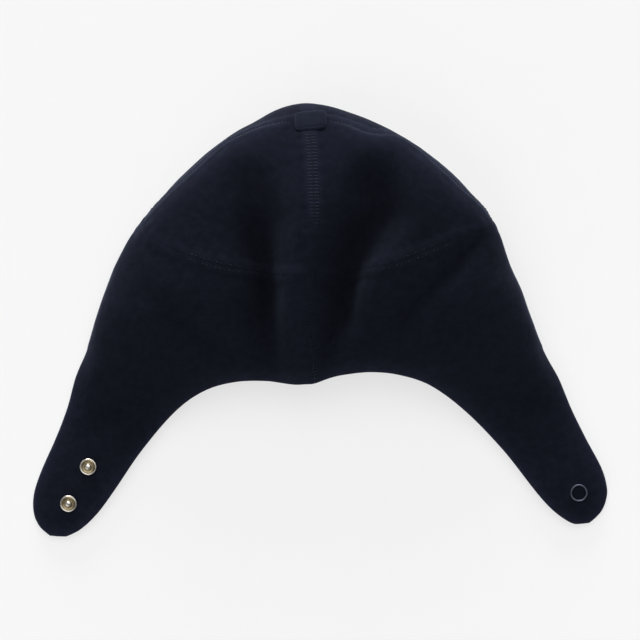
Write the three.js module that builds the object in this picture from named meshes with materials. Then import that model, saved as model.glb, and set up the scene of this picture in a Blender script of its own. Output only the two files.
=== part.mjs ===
// A child's fleece helmet hat with ear flaps, lying flat with its back up.
// Millimetres, +Z up from the table, +X towards the wearer's right, +Y towards the crown.
// The origin is on the table, below the middle of the hat's outline.
import * as THREE from 'three';

// Overall size of the lying hat
const LENGTH_Y = 249;
const CROWN_TOP_Y = LENGTH_Y / 2;
const WALL = 3;
const GAP = 0.6;
const SEAM_CLEAR = 0.5;

// Half the hat's width at its sides, which turns the gap at the centre seams into an angle
const HALF_GIRTH = 100;

// Crown: a dome of this radius along Y, whose seams cross at a point tilted up from +Y
const DOME = 62.9;
const CROSSING_TILT = THREE.MathUtils.degToRad(32);
const SEAM_BOW = { left: THREE.MathUtils.degToRad(4), right: THREE.MathUtils.degToRad(8.5) };
const CROSSING_HOLE = 2.2;

// The layer that lies on the table is flat from this share of its half round
const FLAT_FROM = 0.6;

// Top tab: its two sides, and its depth below the crown's top
const TAB = { left: -14.1, right: 3.4, from: 7.2, to: 17.6, slant: 0.09, thick: 2.4 };
const TAB_LIFT = { root: 0.4, end: 0.9 };

// Snaps: 10 mm prong rings, studs and a socket, with their places on the flaps
const SNAP_SIDES = 20;
const SNAP_GAP = 0.35;
const STUDS = [
  { name: 'stud_upper', back: 'stud_upper_back', x: -133.3, depth: 209.0 },
  { name: 'stud_lower', back: 'stud_lower_back', x: -144.7, depth: 230.2 },
];
const RING = { name: 'snap_ring', back: 'snap_socket', x: 149.0, depth: 224.0 };

// Outline seen from above: depth below the crown's top, left edge, centre-back seam, right edge
const OUTLINE = [
  { depth: 0.0, left: -8.0, seam: -8.0, right: -8.0 },
  { depth: 4.0, left: -25.5, seam: -6.5, right: 13.5 },
  { depth: 10.0, left: -36.5, seam: -6.0, right: 29.5 },
  { depth: 15.5, left: -47.0, seam: -6.0, right: 41.0 },
  { depth: 27.0, left: -63.5, seam: -5.0, right: 60.0 },
  { depth: 38.5, left: -76.0, seam: -4.3, right: 74.0 },
  { depth: 50.0, left: -87.0, seam: -3.9, right: 85.5 },
  { depth: 61.5, left: -97.0, seam: -3.5, right: 95.0 },
  { depth: 73.0, left: -105.5, seam: -3.3, right: 101.0 },
  { depth: 90.5, left: -116.5, seam: -4.2, right: 108.5 },
  { depth: 107.5, left: -123.5, seam: -5.4, right: 116.0 },
  { depth: 125.0, left: -129.5, seam: -6.4, right: 122.0 },
  { depth: 142.0, left: -134.5, seam: -4.8, right: 128.5 },
  { depth: 159.5, left: -140.0, seam: -3.0, right: 136.5 },
  { depth: 176.5, left: -145.0, seam: -3.0, right: 144.0 },
  { depth: 194.0, left: -152.0, seam: -3.0, right: 153.0 },
  { depth: 211.0, left: -159.7, seam: -3.0, right: 162.1 },
  { depth: 222.5, left: -163.8, seam: -3.0, right: 165.0 },
  { depth: 229.0, left: -164.8, seam: -3.0, right: 164.2 },
  { depth: 234.0, left: -164.7, seam: -3.0, right: 162.1 },
  { depth: 237.0, left: -164.2, seam: -3.0, right: 159.6 },
  { depth: 239.0, left: -163.6, seam: -3.0, right: 157.4 },
  { depth: 240.4, left: -162.9, seam: -3.0, right: 155.1 },
  { depth: 241.4, left: -162.4, seam: -3.0, right: 152.4 },
  { depth: 242.6, left: -161.7, seam: -3.0, right: 148.0 },
  { depth: 244.0, left: -160.6, seam: -3.0, right: 143.0 },
  { depth: 245.6, left: -158.9, seam: -3.0, right: 138.0 },
  { depth: 247.2, left: -156.7, seam: -3.0, right: 133.0 },
  { depth: 248.3, left: -154.6, seam: -3.0, right: 130.0 },
  { depth: 248.9, left: -152.0, seam: -3.0, right: 127.0 },
];

// Side view: height of the fold's middle, and how far the upper layer stands above it
const PROFILE = [
  { depth: 0, fold: 13.0, rise: 32.0 },
  { depth: 60, fold: 13.0, rise: 34.0 },
  { depth: 110, fold: 12.0, rise: 33.0 },
  { depth: 142, fold: 7.5, rise: 27.0 },
  { depth: 160, fold: 4.0, rise: 22.0 },
  { depth: 180, fold: 2.4, rise: 13.0 },
  { depth: 200, fold: 2.0, rise: 8.5 },
  { depth: 225, fold: 2.0, rise: 7.0 },
  { depth: 249, fold: 2.0, rise: 5.0 },
];

// Lower edge of the upper layer, from the centre-back seam along the arch to the flap's tip
const RIM_RIGHT = [
  { x: -3.0, depth: 160.5 },
  { x: 12.0, depth: 156.0 },
  { x: 29.0, depth: 154.0 },
  { x: 46.5, depth: 156.0 },
  { x: 63.5, depth: 162.0 },
  { x: 83.0, depth: 176.5 },
  { x: 105.5, depth: 199.5 },
  { x: 123.6, depth: 222.5 },
  { x: 129.8, depth: 229.8 },
  { x: 135.4, depth: 235.2 },
  { x: 141.2, depth: 239.5 },
  { x: 144.0, depth: 240.8 },
  { x: 147.0, depth: 241.6 },
];
const RIM_LEFT = [
  { x: -3.0, depth: 160.5 },
  { x: -14.0, depth: 161.5 },
  { x: -31.5, depth: 159.5 },
  { x: -48.5, depth: 160.0 },
  { x: -66.0, depth: 165.0 },
  { x: -82.5, depth: 176.5 },
  { x: -102.5, depth: 199.5 },
  { x: -118.3, depth: 222.5 },
  { x: -126.2, depth: 233.5 },
  { x: -132.0, depth: 240.0 },
  { x: -137.7, depth: 245.0 },
  { x: -141.8, depth: 247.4 },
  { x: -146.3, depth: 248.8 },
];

// The front rim on the table: where it leaves the fold, and its depth at the centre
const KINK_DEPTH = 141.5;
const FRONT_RIM_DEPTH = 94;

// Flap tips: depth of the last outer point on each side
const TIP_DEPTH = { left: 248.8, right: 241.4 };

// Soft folds of the upper layer, each with a row for every place along it: its depth and x,
// its height (negative is a dent) and its half width on each side. The wall powers say how
// squarely its two sides fall.
const FOLDS = [
  {
    leftWall: 2,
    rightWall: 2,
    rows: [
      { depth: 40, x: -15, height: 0, left: 8, right: 8 },
      { depth: 70, x: -13.5, height: 2.2, left: 8, right: 8 },
      { depth: 110, x: -13, height: 2.8, left: 8, right: 8 },
      { depth: 140, x: -13, height: 2.2, left: 8, right: 8 },
      { depth: 165, x: -13, height: 1.2, left: 8, right: 8 },
    ],
  },
  {
    leftWall: 2,
    rightWall: 3.4,
    rows: [
      { depth: 32, x: -43, height: 0, left: 11, right: 12 },
      { depth: 44, x: -41, height: -3.5, left: 12, right: 15 },
      { depth: 65, x: -37, height: -7, left: 13, right: 16 },
      { depth: 79, x: -36, height: -9.5, left: 13, right: 14.5 },
      { depth: 93, x: -33.5, height: -10.5, left: 12, right: 12.3 },
      { depth: 104, x: -31.5, height: -10.8, left: 11, right: 10 },
      { depth: 113, x: -31, height: -10.8, left: 11, right: 9.6 },
      { depth: 125, x: -30.5, height: -9, left: 11, right: 9.3 },
      { depth: 140, x: -29.5, height: -5, left: 10, right: 8.6 },
      { depth: 152, x: -28.5, height: -2.4, left: 10, right: 8 },
      { depth: 165, x: -28, height: -1.4, left: 10, right: 8 },
    ],
  },
  {
    leftWall: 2.4,
    rightWall: 2.6,
    rows: [
      { depth: 24, x: 33, height: 0, left: 10, right: 12 },
      { depth: 44, x: 33, height: -7.5, left: 16, right: 15 },
      { depth: 65, x: 34, height: -10, left: 22, right: 15 },
      { depth: 79, x: 26, height: -11, left: 19, right: 14 },
      { depth: 93, x: 21, height: -11, left: 17.5, right: 10 },
      { depth: 104, x: 18, height: -11, left: 16.5, right: 8 },
      { depth: 113, x: 16.5, height: -10.5, left: 15.5, right: 7.5 },
      { depth: 125, x: 13.5, height: -8.5, left: 14, right: 8.5 },
      { depth: 140, x: 7, height: -4.5, left: 10, right: 9 },
      { depth: 160, x: 1, height: 0, left: 8, right: 7.5 },
    ],
  },
  {
    leftWall: 2,
    rightWall: 2,
    rows: [
      { depth: 62, x: 101, height: 0, left: 5, right: 6 },
      { depth: 71, x: 95, height: -2.8, left: 6, right: 7 },
      { depth: 93, x: 78, height: -3.6, left: 8, right: 9 },
      { depth: 113, x: 58, height: -3.2, left: 10, right: 11 },
      { depth: 128, x: 41, height: -2, left: 12, right: 12 },
      { depth: 146, x: 24, height: 0, left: 12, right: 12 },
    ],
  },
  {
    leftWall: 2,
    rightWall: 2,
    rows: [
      { depth: 100, x: -104, height: 0, left: 10, right: 10 },
      { depth: 116, x: -88, height: -1.8, left: 11, right: 11 },
      { depth: 130, x: -72, height: -2.4, left: 12, right: 12 },
      { depth: 142, x: -56, height: -1.4, left: 12, right: 12 },
      { depth: 154, x: -42, height: 0, left: 12, right: 12 },
    ],
  },
  {
    leftWall: 2,
    rightWall: 2,
    rows: [
      { depth: 154, x: 96, height: 0, left: 12, right: 12 },
      { depth: 168, x: 112, height: -1.6, left: 13, right: 12 },
      { depth: 184, x: 126, height: 0, left: 12, right: 10 },
    ],
  },
  {
    leftWall: 2,
    rightWall: 2,
    rows: [
      { depth: 166, x: -104, height: 0, left: 12, right: 12 },
      { depth: 182, x: -121, height: -1.5, left: 12, right: 11 },
      { depth: 196, x: -134, height: 0, left: 10, right: 9 },
    ],
  },
];

// How finely the cloth is divided
const CROWN_STEPS = 12;
const ROUND_STEPS = 12;
const SIDE_ROWS = 12;
const SEAM_COLUMNS = 12;
const FOLD_COLUMNS = 9;
const FLAP_COLUMNS = 16;
const TAB_STEPS = { across: 6, along: 5 };
// The lower layer curls at the fold and is flat in the middle, so its steps widen inwards
const CURL_SPREAD = 1.35;

const CLOTH = { color: 0x1a2030, roughness: 0.95, metalness: 0 };
const NICKEL = { color: 0xb9b4a8, roughness: 0.28, metalness: 1 };
const DARK_METAL = { color: 0x4b505f, roughness: 0.45, metalness: 1 };

const QUARTER = Math.PI / 2;

// A smooth value of one column, read at a place along another, through a table's rows
function read(rows, along, column, place) {
  const last = rows.length - 1;
  let k = 0;
  while (k < last - 1 && place > rows[k + 1][along]) k += 1;
  const slope = (i) => {
    const a = rows[Math.max(i - 1, 0)];
    const b = rows[Math.min(i + 1, last)];
    return (b[column] - a[column]) / (b[along] - a[along]);
  };
  const span = rows[k + 1][along] - rows[k][along];
  const t = Math.min(Math.max((place - rows[k][along]) / span, 0), 1);
  const t2 = t * t;
  const t3 = t2 * t;
  return (2 * t3 - 3 * t2 + 1) * rows[k][column] + (3 * t2 - 2 * t3) * rows[k + 1][column]
    + span * ((t3 - 2 * t2 + t) * slope(k) + (t3 - t2) * slope(k + 1));
}

// The outline's edge moved in by half a wall, to the cloth's middle. It is round at the
// top, so it is read along the root of the depth below the middle's own top.
function middleEdge(column) {
  return OUTLINE.map((row, i) => {
    if (i === 0) return { root: 0, x: row[column] };
    const before = OUTLINE[i - 1];
    const after = OUTLINE[Math.min(i + 1, OUTLINE.length - 1)];
    const run = after[column] - before[column];
    const drop = after.depth - before.depth;
    const length = Math.hypot(run, drop);
    const inwards = column === 'right' ? -1 : 1;
    const x = row[column] + inwards * (WALL / 2) * (drop / length);
    const depth = row.depth - inwards * (WALL / 2) * (run / length);
    return { root: Math.sqrt(Math.max(depth - WALL / 2, 0)), x };
  });
}

const EDGES = { left: middleEdge('left'), right: middleEdge('right') };

function outline(column, depth) {
  if (column === 'seam') return read(OUTLINE, 'depth', 'seam', depth);
  return read(EDGES[column], 'root', 'x', Math.sqrt(Math.max(depth - WALL / 2, 0)));
}

function halfWidth(depth, towardsRight) {
  const seam = outline('seam', depth);
  return towardsRight ? outline('right', depth) - seam : seam - outline('left', depth);
}

// Height that the folds add at a place of the upper layer
function foldHeight(x, depth) {
  let sum = 0;
  for (const fold of FOLDS) {
    const at = (column) => read(fold.rows, 'depth', column, depth);
    const offset = x - at('x');
    const wide = offset < 0 ? at('left') : at('right');
    const wall = offset < 0 ? fold.leftWall : fold.rightWall;
    sum += at('height') * Math.exp(-(Math.abs(offset / wide) ** wall));
  }
  return sum;
}

// A point of the cloth's middle surface. The guide is a unit dome above y = 0 and a unit
// cylinder along -Y below it, which follow the crown and the sides.
function onHat(guide) {
  const dome = guide.y > 0;
  const n = dome ? guide.clone().normalize() : guide;
  const ring = Math.max(Math.hypot(n.x, n.z), 1e-6);
  const depth = depthOf(n.y);
  const across = n.x / ring;
  const x = outline('seam', depth) + halfWidth(depth, across > 0) * across;
  const up = dome ? n.z : n.z / ring;
  const fold = read(PROFILE, 'depth', 'fold', depth);
  const onTable = WALL / 2;
  if (up < 0) {
    const flat = Math.sin(QUARTER * Math.min(-up / FLAT_FROM, 1));
    return new THREE.Vector3(x, CROWN_TOP_Y - depth, fold - (fold - onTable) * flat);
  }
  const rise = read(PROFILE, 'depth', 'rise', depth) * up;
  const crease = foldHeight(x, depth) * THREE.MathUtils.smoothstep(up, 0.15, 0.7);
  return new THREE.Vector3(x, CROWN_TOP_Y - depth, fold + rise + crease);
}

// Outward normal of the cloth, from two small steps over the guide
function normalAt(guide) {
  const out = guide.y > 0 ? guide.clone().normalize() : new THREE.Vector3(guide.x, 0, guide.z);
  const axis = Math.abs(out.y) < 0.9 ? new THREE.Vector3(0, 1, 0) : new THREE.Vector3(1, 0, 0);
  const a = new THREE.Vector3().crossVectors(axis, out).normalize();
  const b = new THREE.Vector3().crossVectors(out, a);
  const step = (along) => {
    const ahead = onHat(guide.clone().addScaledVector(along, 1e-3));
    return ahead.sub(onHat(guide.clone().addScaledVector(along, -1e-3)));
  };
  return new THREE.Vector3().crossVectors(step(a), step(b)).normalize();
}

// Guide point at a turn round the hat (0 right fold, 90 degrees middle of the back) and a
// latitude over the dome, which runs on as a length below the dome's rim
function guideAt(turn, latitude) {
  const ring = latitude > 0 ? Math.cos(latitude) : 1;
  const y = latitude > 0 ? Math.sin(latitude) : latitude;
  return new THREE.Vector3(ring * Math.cos(turn), y, ring * Math.sin(turn));
}

function depthOf(height) {
  return WALL / 2 + DOME * (1 - height);
}

function latitudeOf(depth) {
  const height = 1 - (depth - WALL / 2) / DOME;
  return height > 0 ? Math.asin(height) : height;
}

// Guide coordinates of a place seen from above on the upper layer
function seenAt(x, depth) {
  const offset = x - outline('seam', depth);
  const share = offset / halfWidth(depth, offset > 0);
  const turn = Math.acos(Math.min(Math.max(share, -1), 1));
  return { turn, latitude: latitudeOf(depth) };
}

// Guide coordinates at an angle from the seam crossing, in a direction round it
function fromCrossing(angle, direction) {
  const pole = new THREE.Vector3(0, Math.cos(CROSSING_TILT), Math.sin(CROSSING_TILT));
  const up = new THREE.Vector3(0, -Math.sin(CROSSING_TILT), Math.cos(CROSSING_TILT));
  const n = pole.multiplyScalar(Math.cos(angle));
  n.x += Math.sin(angle) * Math.cos(direction);
  n.addScaledVector(up, Math.sin(angle) * Math.sin(direction));
  return { turn: Math.atan2(n.z, n.x), latitude: Math.asin(n.y) };
}

// The seam between crown and sides bows towards the crown between its four meeting points
function seamBow(direction) {
  if (Math.sin(direction) <= 0) return 0;
  return (Math.cos(direction) > 0 ? SEAM_BOW.right : SEAM_BOW.left) * Math.sin(2 * direction) ** 2;
}

function ringSeam(direction, offset) {
  return fromCrossing(QUARTER - seamBow(direction) + offset / DOME, direction);
}

// One closed body of cloth: the grids' points are welded, moved out to both faces of the
// wall along their normals, and the open edges are closed with a strip
function clothBody(grids, wall, lift = () => 0) {
  const middle = [];
  const found = new Map();
  const quads = [];
  const pointIndex = (place) => {
    const guide = guideAt(place.turn, place.latitude);
    const key = guide.toArray().map((v) => Math.round(v * 1e5)).join();
    if (!found.has(key)) {
      found.set(key, middle.length);
      middle.push({ at: onHat(guide), normal: normalAt(guide), lift: lift(place) });
    }
    return found.get(key);
  };
  for (const grid of grids) {
    const index = grid.map((row) => row.map(pointIndex));
    const first = quads.length;
    for (let i = 0; i + 1 < index.length; i += 1) {
      for (let j = 0; j + 1 < index[i].length; j += 1) {
        quads.push([index[i][j], index[i + 1][j], index[i + 1][j + 1], index[i][j + 1]]);
      }
    }
    if (!facesOut(quads[first], middle)) {
      for (let k = first; k < quads.length; k += 1) quads[k].reverse();
    }
  }
  const count = middle.length;
  const positions = [];
  for (const side of [0.5, -0.5]) {
    for (const { at, normal, lift: height } of middle) {
      const point = at.clone().addScaledVector(normal, side * wall + height);
      positions.push(point.x, point.y, point.z);
    }
  }
  const triangles = [];
  const edges = new Map();
  for (const [a, b, c, d] of quads) {
    triangles.push(a, b, c, a, c, d);
    triangles.push(count + a, count + c, count + b, count + a, count + d, count + c);
    for (const [from, to] of [[a, b], [b, c], [c, d], [d, a]]) {
      if (!edges.delete(`${to},${from}`)) edges.set(`${from},${to}`, [from, to]);
    }
  }
  for (const [from, to] of edges.values()) {
    triangles.push(to, from, count + from, to, count + from, count + to);
  }
  const geometry = new THREE.BufferGeometry();
  geometry.setAttribute('position', new THREE.Float32BufferAttribute(positions, 3));
  geometry.setIndex(triangles);
  geometry.computeVertexNormals();
  return geometry;
}

function facesOut(quad, middle) {
  const [a, b, c] = quad.map((i) => middle[i].at);
  const across = new THREE.Vector3().subVectors(b, a);
  const turned = across.cross(new THREE.Vector3().subVectors(c, a));
  return turned.dot(middle[quad[0]].normal) > 0;
}

function blend(a, b, t) {
  return {
    turn: THREE.MathUtils.lerp(a.turn, b.turn, t),
    latitude: THREE.MathUtils.lerp(a.latitude, b.latitude, t),
  };
}

// Shares of a quarter round, from the fold (0) to the centre seam (1)
function stepShare(i, steps, onTable) {
  return onTable ? (i / steps) ** CURL_SPREAD : i / steps;
}

// Crown panel between two of the four seams that meet at the crossing
function crownPanel(firstSeam) {
  const half = GAP / 2;
  const onTable = firstSeam >= Math.PI;
  const foldFirst = Math.cos(firstSeam) ** 2 > 0.5;
  const directions = [];
  for (let j = 0; j <= ROUND_STEPS; j += 1) {
    const fromFold = stepShare(foldFirst ? j : ROUND_STEPS - j, ROUND_STEPS, onTable);
    directions.push(firstSeam + QUARTER * (foldFirst ? fromFold : 1 - fromFold));
  }
  const grid = [];
  for (let i = 0; i <= CROWN_STEPS; i += 1) {
    const row = [];
    for (const direction of directions) {
      const whole = QUARTER - SEAM_CLEAR / DOME - seamBow(direction);
      const start = CROSSING_HOLE / DOME;
      const angle = start + (whole - start) * (i / CROWN_STEPS);
      const edge = Math.asin(Math.min(half / (DOME * Math.sin(angle)), 0.6));
      const last = firstSeam + QUARTER - edge;
      row.push(fromCrossing(angle, THREE.MathUtils.clamp(direction, firstSeam + edge, last)));
    }
    grid.push(row);
  }
  return clothBody([grid], WALL);
}

// Places along the lower edge of the upper layer, evenly by length
function alongRim(rows, share) {
  const lengths = [0];
  for (let i = 1; i < rows.length; i += 1) {
    const reach = Math.hypot(rows[i].x - rows[i - 1].x, rows[i].depth - rows[i - 1].depth);
    lengths.push(lengths[i - 1] + reach);
  }
  const table = rows.map((row, i) => ({ ...row, length: lengths[i] }));
  const place = share * lengths[lengths.length - 1];
  return seenAt(read(table, 'length', 'x', place), read(table, 'length', 'depth', place));
}

// Nape, ear flap and front band of one side in one piece, wrapped round the fold
function sidePanel(side) {
  const right = side === 'right';
  const rim = right ? RIM_RIGHT : RIM_LEFT;
  const edgeTurn = right ? 0 : Math.PI;
  const centre = GAP / 2 / HALF_GIRTH;
  const clear = (turn) => (right ? Math.min(turn, QUARTER - centre) : Math.max(turn, QUARTER + centre));
  const start = -SEAM_CLEAR / DOME;
  const kink = latitudeOf(KINK_DEPTH);
  const tip = latitudeOf(TIP_DEPTH[side]);
  const tops = [];
  for (let i = 0; i < SEAM_COLUMNS; i += 1) {
    const spread = QUARTER * (i / SEAM_COLUMNS);
    const place = ringSeam(right ? QUARTER - spread : QUARTER + spread, SEAM_CLEAR);
    tops.push({ turn: clear(place.turn), latitude: place.latitude });
  }
  for (let i = 0; i < FOLD_COLUMNS; i += 1) {
    const latitude = THREE.MathUtils.lerp(start, kink, i / FOLD_COLUMNS);
    tops.push({ turn: edgeTurn, latitude });
  }
  for (let i = 0; i <= FLAP_COLUMNS; i += 1) {
    const eased = Math.sin(QUARTER * (i / FLAP_COLUMNS));
    tops.push({ turn: edgeTurn, latitude: THREE.MathUtils.lerp(kink, tip, eased) });
  }
  const shares = [
    { column: 0, share: 0 },
    { column: SEAM_COLUMNS, share: 0.42 },
    { column: SEAM_COLUMNS + FOLD_COLUMNS, share: 0.66 },
    { column: SEAM_COLUMNS + FOLD_COLUMNS + FLAP_COLUMNS, share: 1 },
  ];
  const upper = tops.map((top, i) => {
    const low = alongRim(rim, read(shares, 'column', 'share', i));
    const bottom = { turn: clear(low.turn), latitude: low.latitude };
    const row = [];
    for (let j = 0; j <= SIDE_ROWS; j += 1) row.push(blend(top, bottom, j / SIDE_ROWS));
    return row;
  });
  const turnRound = right ? -1 : 1;
  const lower = [];
  for (let j = 0; j <= ROUND_STEPS; j += 1) {
    const swept = Math.min(QUARTER * stepShare(j, ROUND_STEPS, true), QUARTER - centre);
    const seam = ringSeam(right ? -swept : Math.PI + swept, SEAM_CLEAR);
    const top = { turn: edgeTurn + turnRound * swept, latitude: seam.latitude };
    if (j > 0) top.turn = right ? seam.turn : 2 * Math.PI + seam.turn;
    else top.latitude = start;
    const depth = KINK_DEPTH + (FRONT_RIM_DEPTH - KINK_DEPTH) * Math.sin(swept) ** 1.5;
    const low = { turn: edgeTurn + turnRound * swept, latitude: latitudeOf(depth) };
    const row = [];
    for (let i = 0; i <= FOLD_COLUMNS; i += 1) row.push(blend(top, low, i / FOLD_COLUMNS));
    lower.push(row);
  }
  return clothBody([upper, lower], WALL);
}

// Folded tab at the seam crossing, fallen over onto the back
function topTab() {
  const grid = [];
  for (let i = 0; i <= TAB_STEPS.along; i += 1) {
    const row = [];
    for (let j = 0; j <= TAB_STEPS.across; j += 1) {
      const x = THREE.MathUtils.lerp(TAB.left, TAB.right, j / TAB_STEPS.across);
      const slant = (x - (TAB.left + TAB.right) / 2) * TAB.slant;
      const depth = THREE.MathUtils.lerp(TAB.from, TAB.to, i / TAB_STEPS.along) - slant;
      row.push(seenAt(x, depth));
    }
    grid.push(row);
  }
  const base = (WALL + TAB.thick) / 2;
  const root = latitudeOf(TAB.from);
  const end = latitudeOf(TAB.to);
  const lift = ({ latitude }) => base
    + THREE.MathUtils.mapLinear(latitude, root, end, TAB_LIFT.root, TAB_LIFT.end);
  return clothBody([grid], TAB.thick, lift);
}

// A turned piece from its radius and height at each corner, standing on y = 0
function turned(corners, closed) {
  const points = corners.map(([radius, height]) => new THREE.Vector2(radius, height));
  if (closed) points.push(points[0].clone());
  return new THREE.LatheGeometry(points, SNAP_SIDES);
}

const STUD_SECTION = [
  [0, 0], [4.4, 0], [4.85, 0.4], [4.85, 0.9], [4.55, 1.25], [4.1, 1.2], [3.3, 0.6],
  [1.75, 0.5], [1.5, 1.5], [1.65, 2.1], [1.2, 2.55], [0, 2.65],
];
const RING_SECTION = [[4.1, 0], [4.7, 0], [5.0, 0.35], [4.85, 0.8], [4.45, 0.9], [4.1, 0.6]];
const SOCKET_SECTION = [
  [0, 0], [4.9, 0], [4.9, 0.7], [3.6, 1.2], [3.3, 2.0], [2.0, 2.0], [2.0, 0.6], [0, 0.6],
];

// Seat on the outer (+1) or inner (-1) face of the cloth, as a place and a direction
function seat(x, depth, face) {
  const place = seenAt(x, depth);
  const guide = guideAt(place.turn, place.latitude);
  const direction = normalAt(guide).multiplyScalar(face);
  const at = onHat(guide).addScaledVector(direction, WALL / 2 + SNAP_GAP);
  return { at, direction };
}

function named(name, geometry, look) {
  const mesh = new THREE.Mesh(geometry, new THREE.MeshStandardMaterial(look));
  mesh.name = name;
  return mesh;
}

function snapPiece(name, geometry, look, x, depth, face) {
  const mesh = named(name, geometry, look);
  const { at, direction } = seat(x, depth, face);
  mesh.position.copy(at);
  mesh.quaternion.setFromUnitVectors(new THREE.Vector3(0, 1, 0), direction);
  return mesh;
}

const hat = new THREE.Group();
const crowns = ['crown_back_right', 'crown_back_left', 'crown_front_left', 'crown_front_right'];
crowns.forEach((name, k) => hat.add(named(name, crownPanel(k * QUARTER), CLOTH)));
hat.add(named('side_left', sidePanel('left'), CLOTH));
hat.add(named('side_right', sidePanel('right'), CLOTH));
hat.add(named('top_tab', topTab(), CLOTH));

for (const stud of STUDS) {
  hat.add(snapPiece(stud.name, turned(STUD_SECTION, false), NICKEL, stud.x, stud.depth, 1));
  hat.add(snapPiece(stud.back, turned(RING_SECTION, true), DARK_METAL, stud.x, stud.depth, -1));
}
hat.add(snapPiece(RING.name, turned(RING_SECTION, true), DARK_METAL, RING.x, RING.depth, 1));
hat.add(snapPiece(RING.back, turned(SOCKET_SECTION, false), NICKEL, RING.x, RING.depth, -1));

export default hat;
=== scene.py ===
"""A child's fleece helmet hat with ear flaps, lying flat with its back up on a pale table.

The hat's form is worked out in millimetres and becomes metres when a mesh is made. +X points
to the wearer's right ear flap, +Y to the crown and +Z up from the table. A depth is measured
from the crown's top towards the flaps.
"""

import logging
import math
from dataclasses import dataclass
from enum import Enum
from typing import ClassVar, NamedTuple, Sequence

import bmesh
import bpy
import numpy as np
from mathutils import Matrix, Vector, kdtree, noise


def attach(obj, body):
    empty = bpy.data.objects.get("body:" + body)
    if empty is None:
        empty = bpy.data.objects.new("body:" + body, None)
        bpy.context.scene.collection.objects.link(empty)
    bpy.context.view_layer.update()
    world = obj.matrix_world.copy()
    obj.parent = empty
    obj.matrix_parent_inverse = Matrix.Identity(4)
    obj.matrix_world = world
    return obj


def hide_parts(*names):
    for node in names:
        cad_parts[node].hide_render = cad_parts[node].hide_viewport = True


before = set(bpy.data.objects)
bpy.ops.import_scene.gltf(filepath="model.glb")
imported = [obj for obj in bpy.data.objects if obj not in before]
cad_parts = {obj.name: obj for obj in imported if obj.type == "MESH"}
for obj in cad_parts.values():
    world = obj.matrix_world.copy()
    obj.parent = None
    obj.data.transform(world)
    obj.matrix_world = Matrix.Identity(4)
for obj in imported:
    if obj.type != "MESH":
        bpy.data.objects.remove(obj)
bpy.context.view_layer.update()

log = logging.getLogger("helmet_hat")

MM = 0.001
QUARTER = math.pi / 2

# The cloth's wall, the lap of sewn panels, and half that lap as an angle round the hat
WALL = 3.0
HALF_WALL = WALL / 2
LAP = 0.2
BEND_RADIUS = 100.0
LAP_ANGLE = LAP / 2 / BEND_RADIUS

# The crown's top, the depth over which it is round, and the crossing of its seams
CROWN_TOP = 124.5
DOME = 62.9
CROSSING_TILT = math.radians(32)
CROSSING_HOLE = 2.2

# The top tab's middle, and how far aside the side seams' relief starts and is full
TAB_MIDDLE = -5.3
TAB_ROOM = (7.0, 24.0)

# Shares of the half round from which the under layer is flat, and over which folds set in
FLAT_FROM = 0.6
FOLD_RANGE = (0.15, 0.7)

# Where the side folds open into flaps, over what depth, and how far inside the outline
# the middle of the flaps' cloth then lies
KINK_DEPTH = 141.5
KINK_REACH = 18.0
OPEN_INSET = -0.25

# Where the seams start and end, and the front band's rim
SEAM_START = 4.0
RING_START = math.radians(0.5)
BACK_RING_DEPTH = 99.5
NAPE_END_DEPTH = 159.5
BAND_END_DEPTH = 93.5
FRONT_RIM_DEPTH = 94.0

# The height of a fold at which its painted fold shade is full
FULL_FOLD = 10.0


class Side(Enum):
    """The wearer's side of the hat."""

    LEFT = "left"
    RIGHT = "right"


class Edge(Enum):
    """How an open edge of a cloth panel is finished: roundness, and its reach in mm."""

    SEWN = (3.6, 0.3)
    TURNED = (2.0, 1.6)


class OutlineRow(NamedTuple):
    """The hat's outline seen from above, at one depth."""

    depth: float
    left: float
    seam: float
    right: float


class ProfileRow(NamedTuple):
    """Height of the side fold's middle and rise of the upper layer above it."""

    depth: float
    fold: float
    rise: float


class RimPoint(NamedTuple):
    """A point of the upper layer's lower edge."""

    x: float
    depth: float


class LeanRow(NamedTuple):
    """How many degrees a side seam leans to the back, at an angle from the crossing."""

    angle: float
    lean: float


class FoldRow(NamedTuple):
    """A soft ridge or dent (negative height) at one depth, with its half widths."""

    depth: float
    x: float
    height: float
    left: float
    right: float


class ShadePatch(NamedTuple):
    """A patch of painted light and shade: its middle, half sizes and shade, below 0 where it
    darkens.
    """

    x: float
    depth: float
    wide: float
    deep: float
    shade: float


class Fold(NamedTuple):
    """A ridge or dent that runs down the hat, and how squarely each of its walls falls."""

    rows: tuple
    left_wall: float = 2.0
    right_wall: float = 2.0


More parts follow.
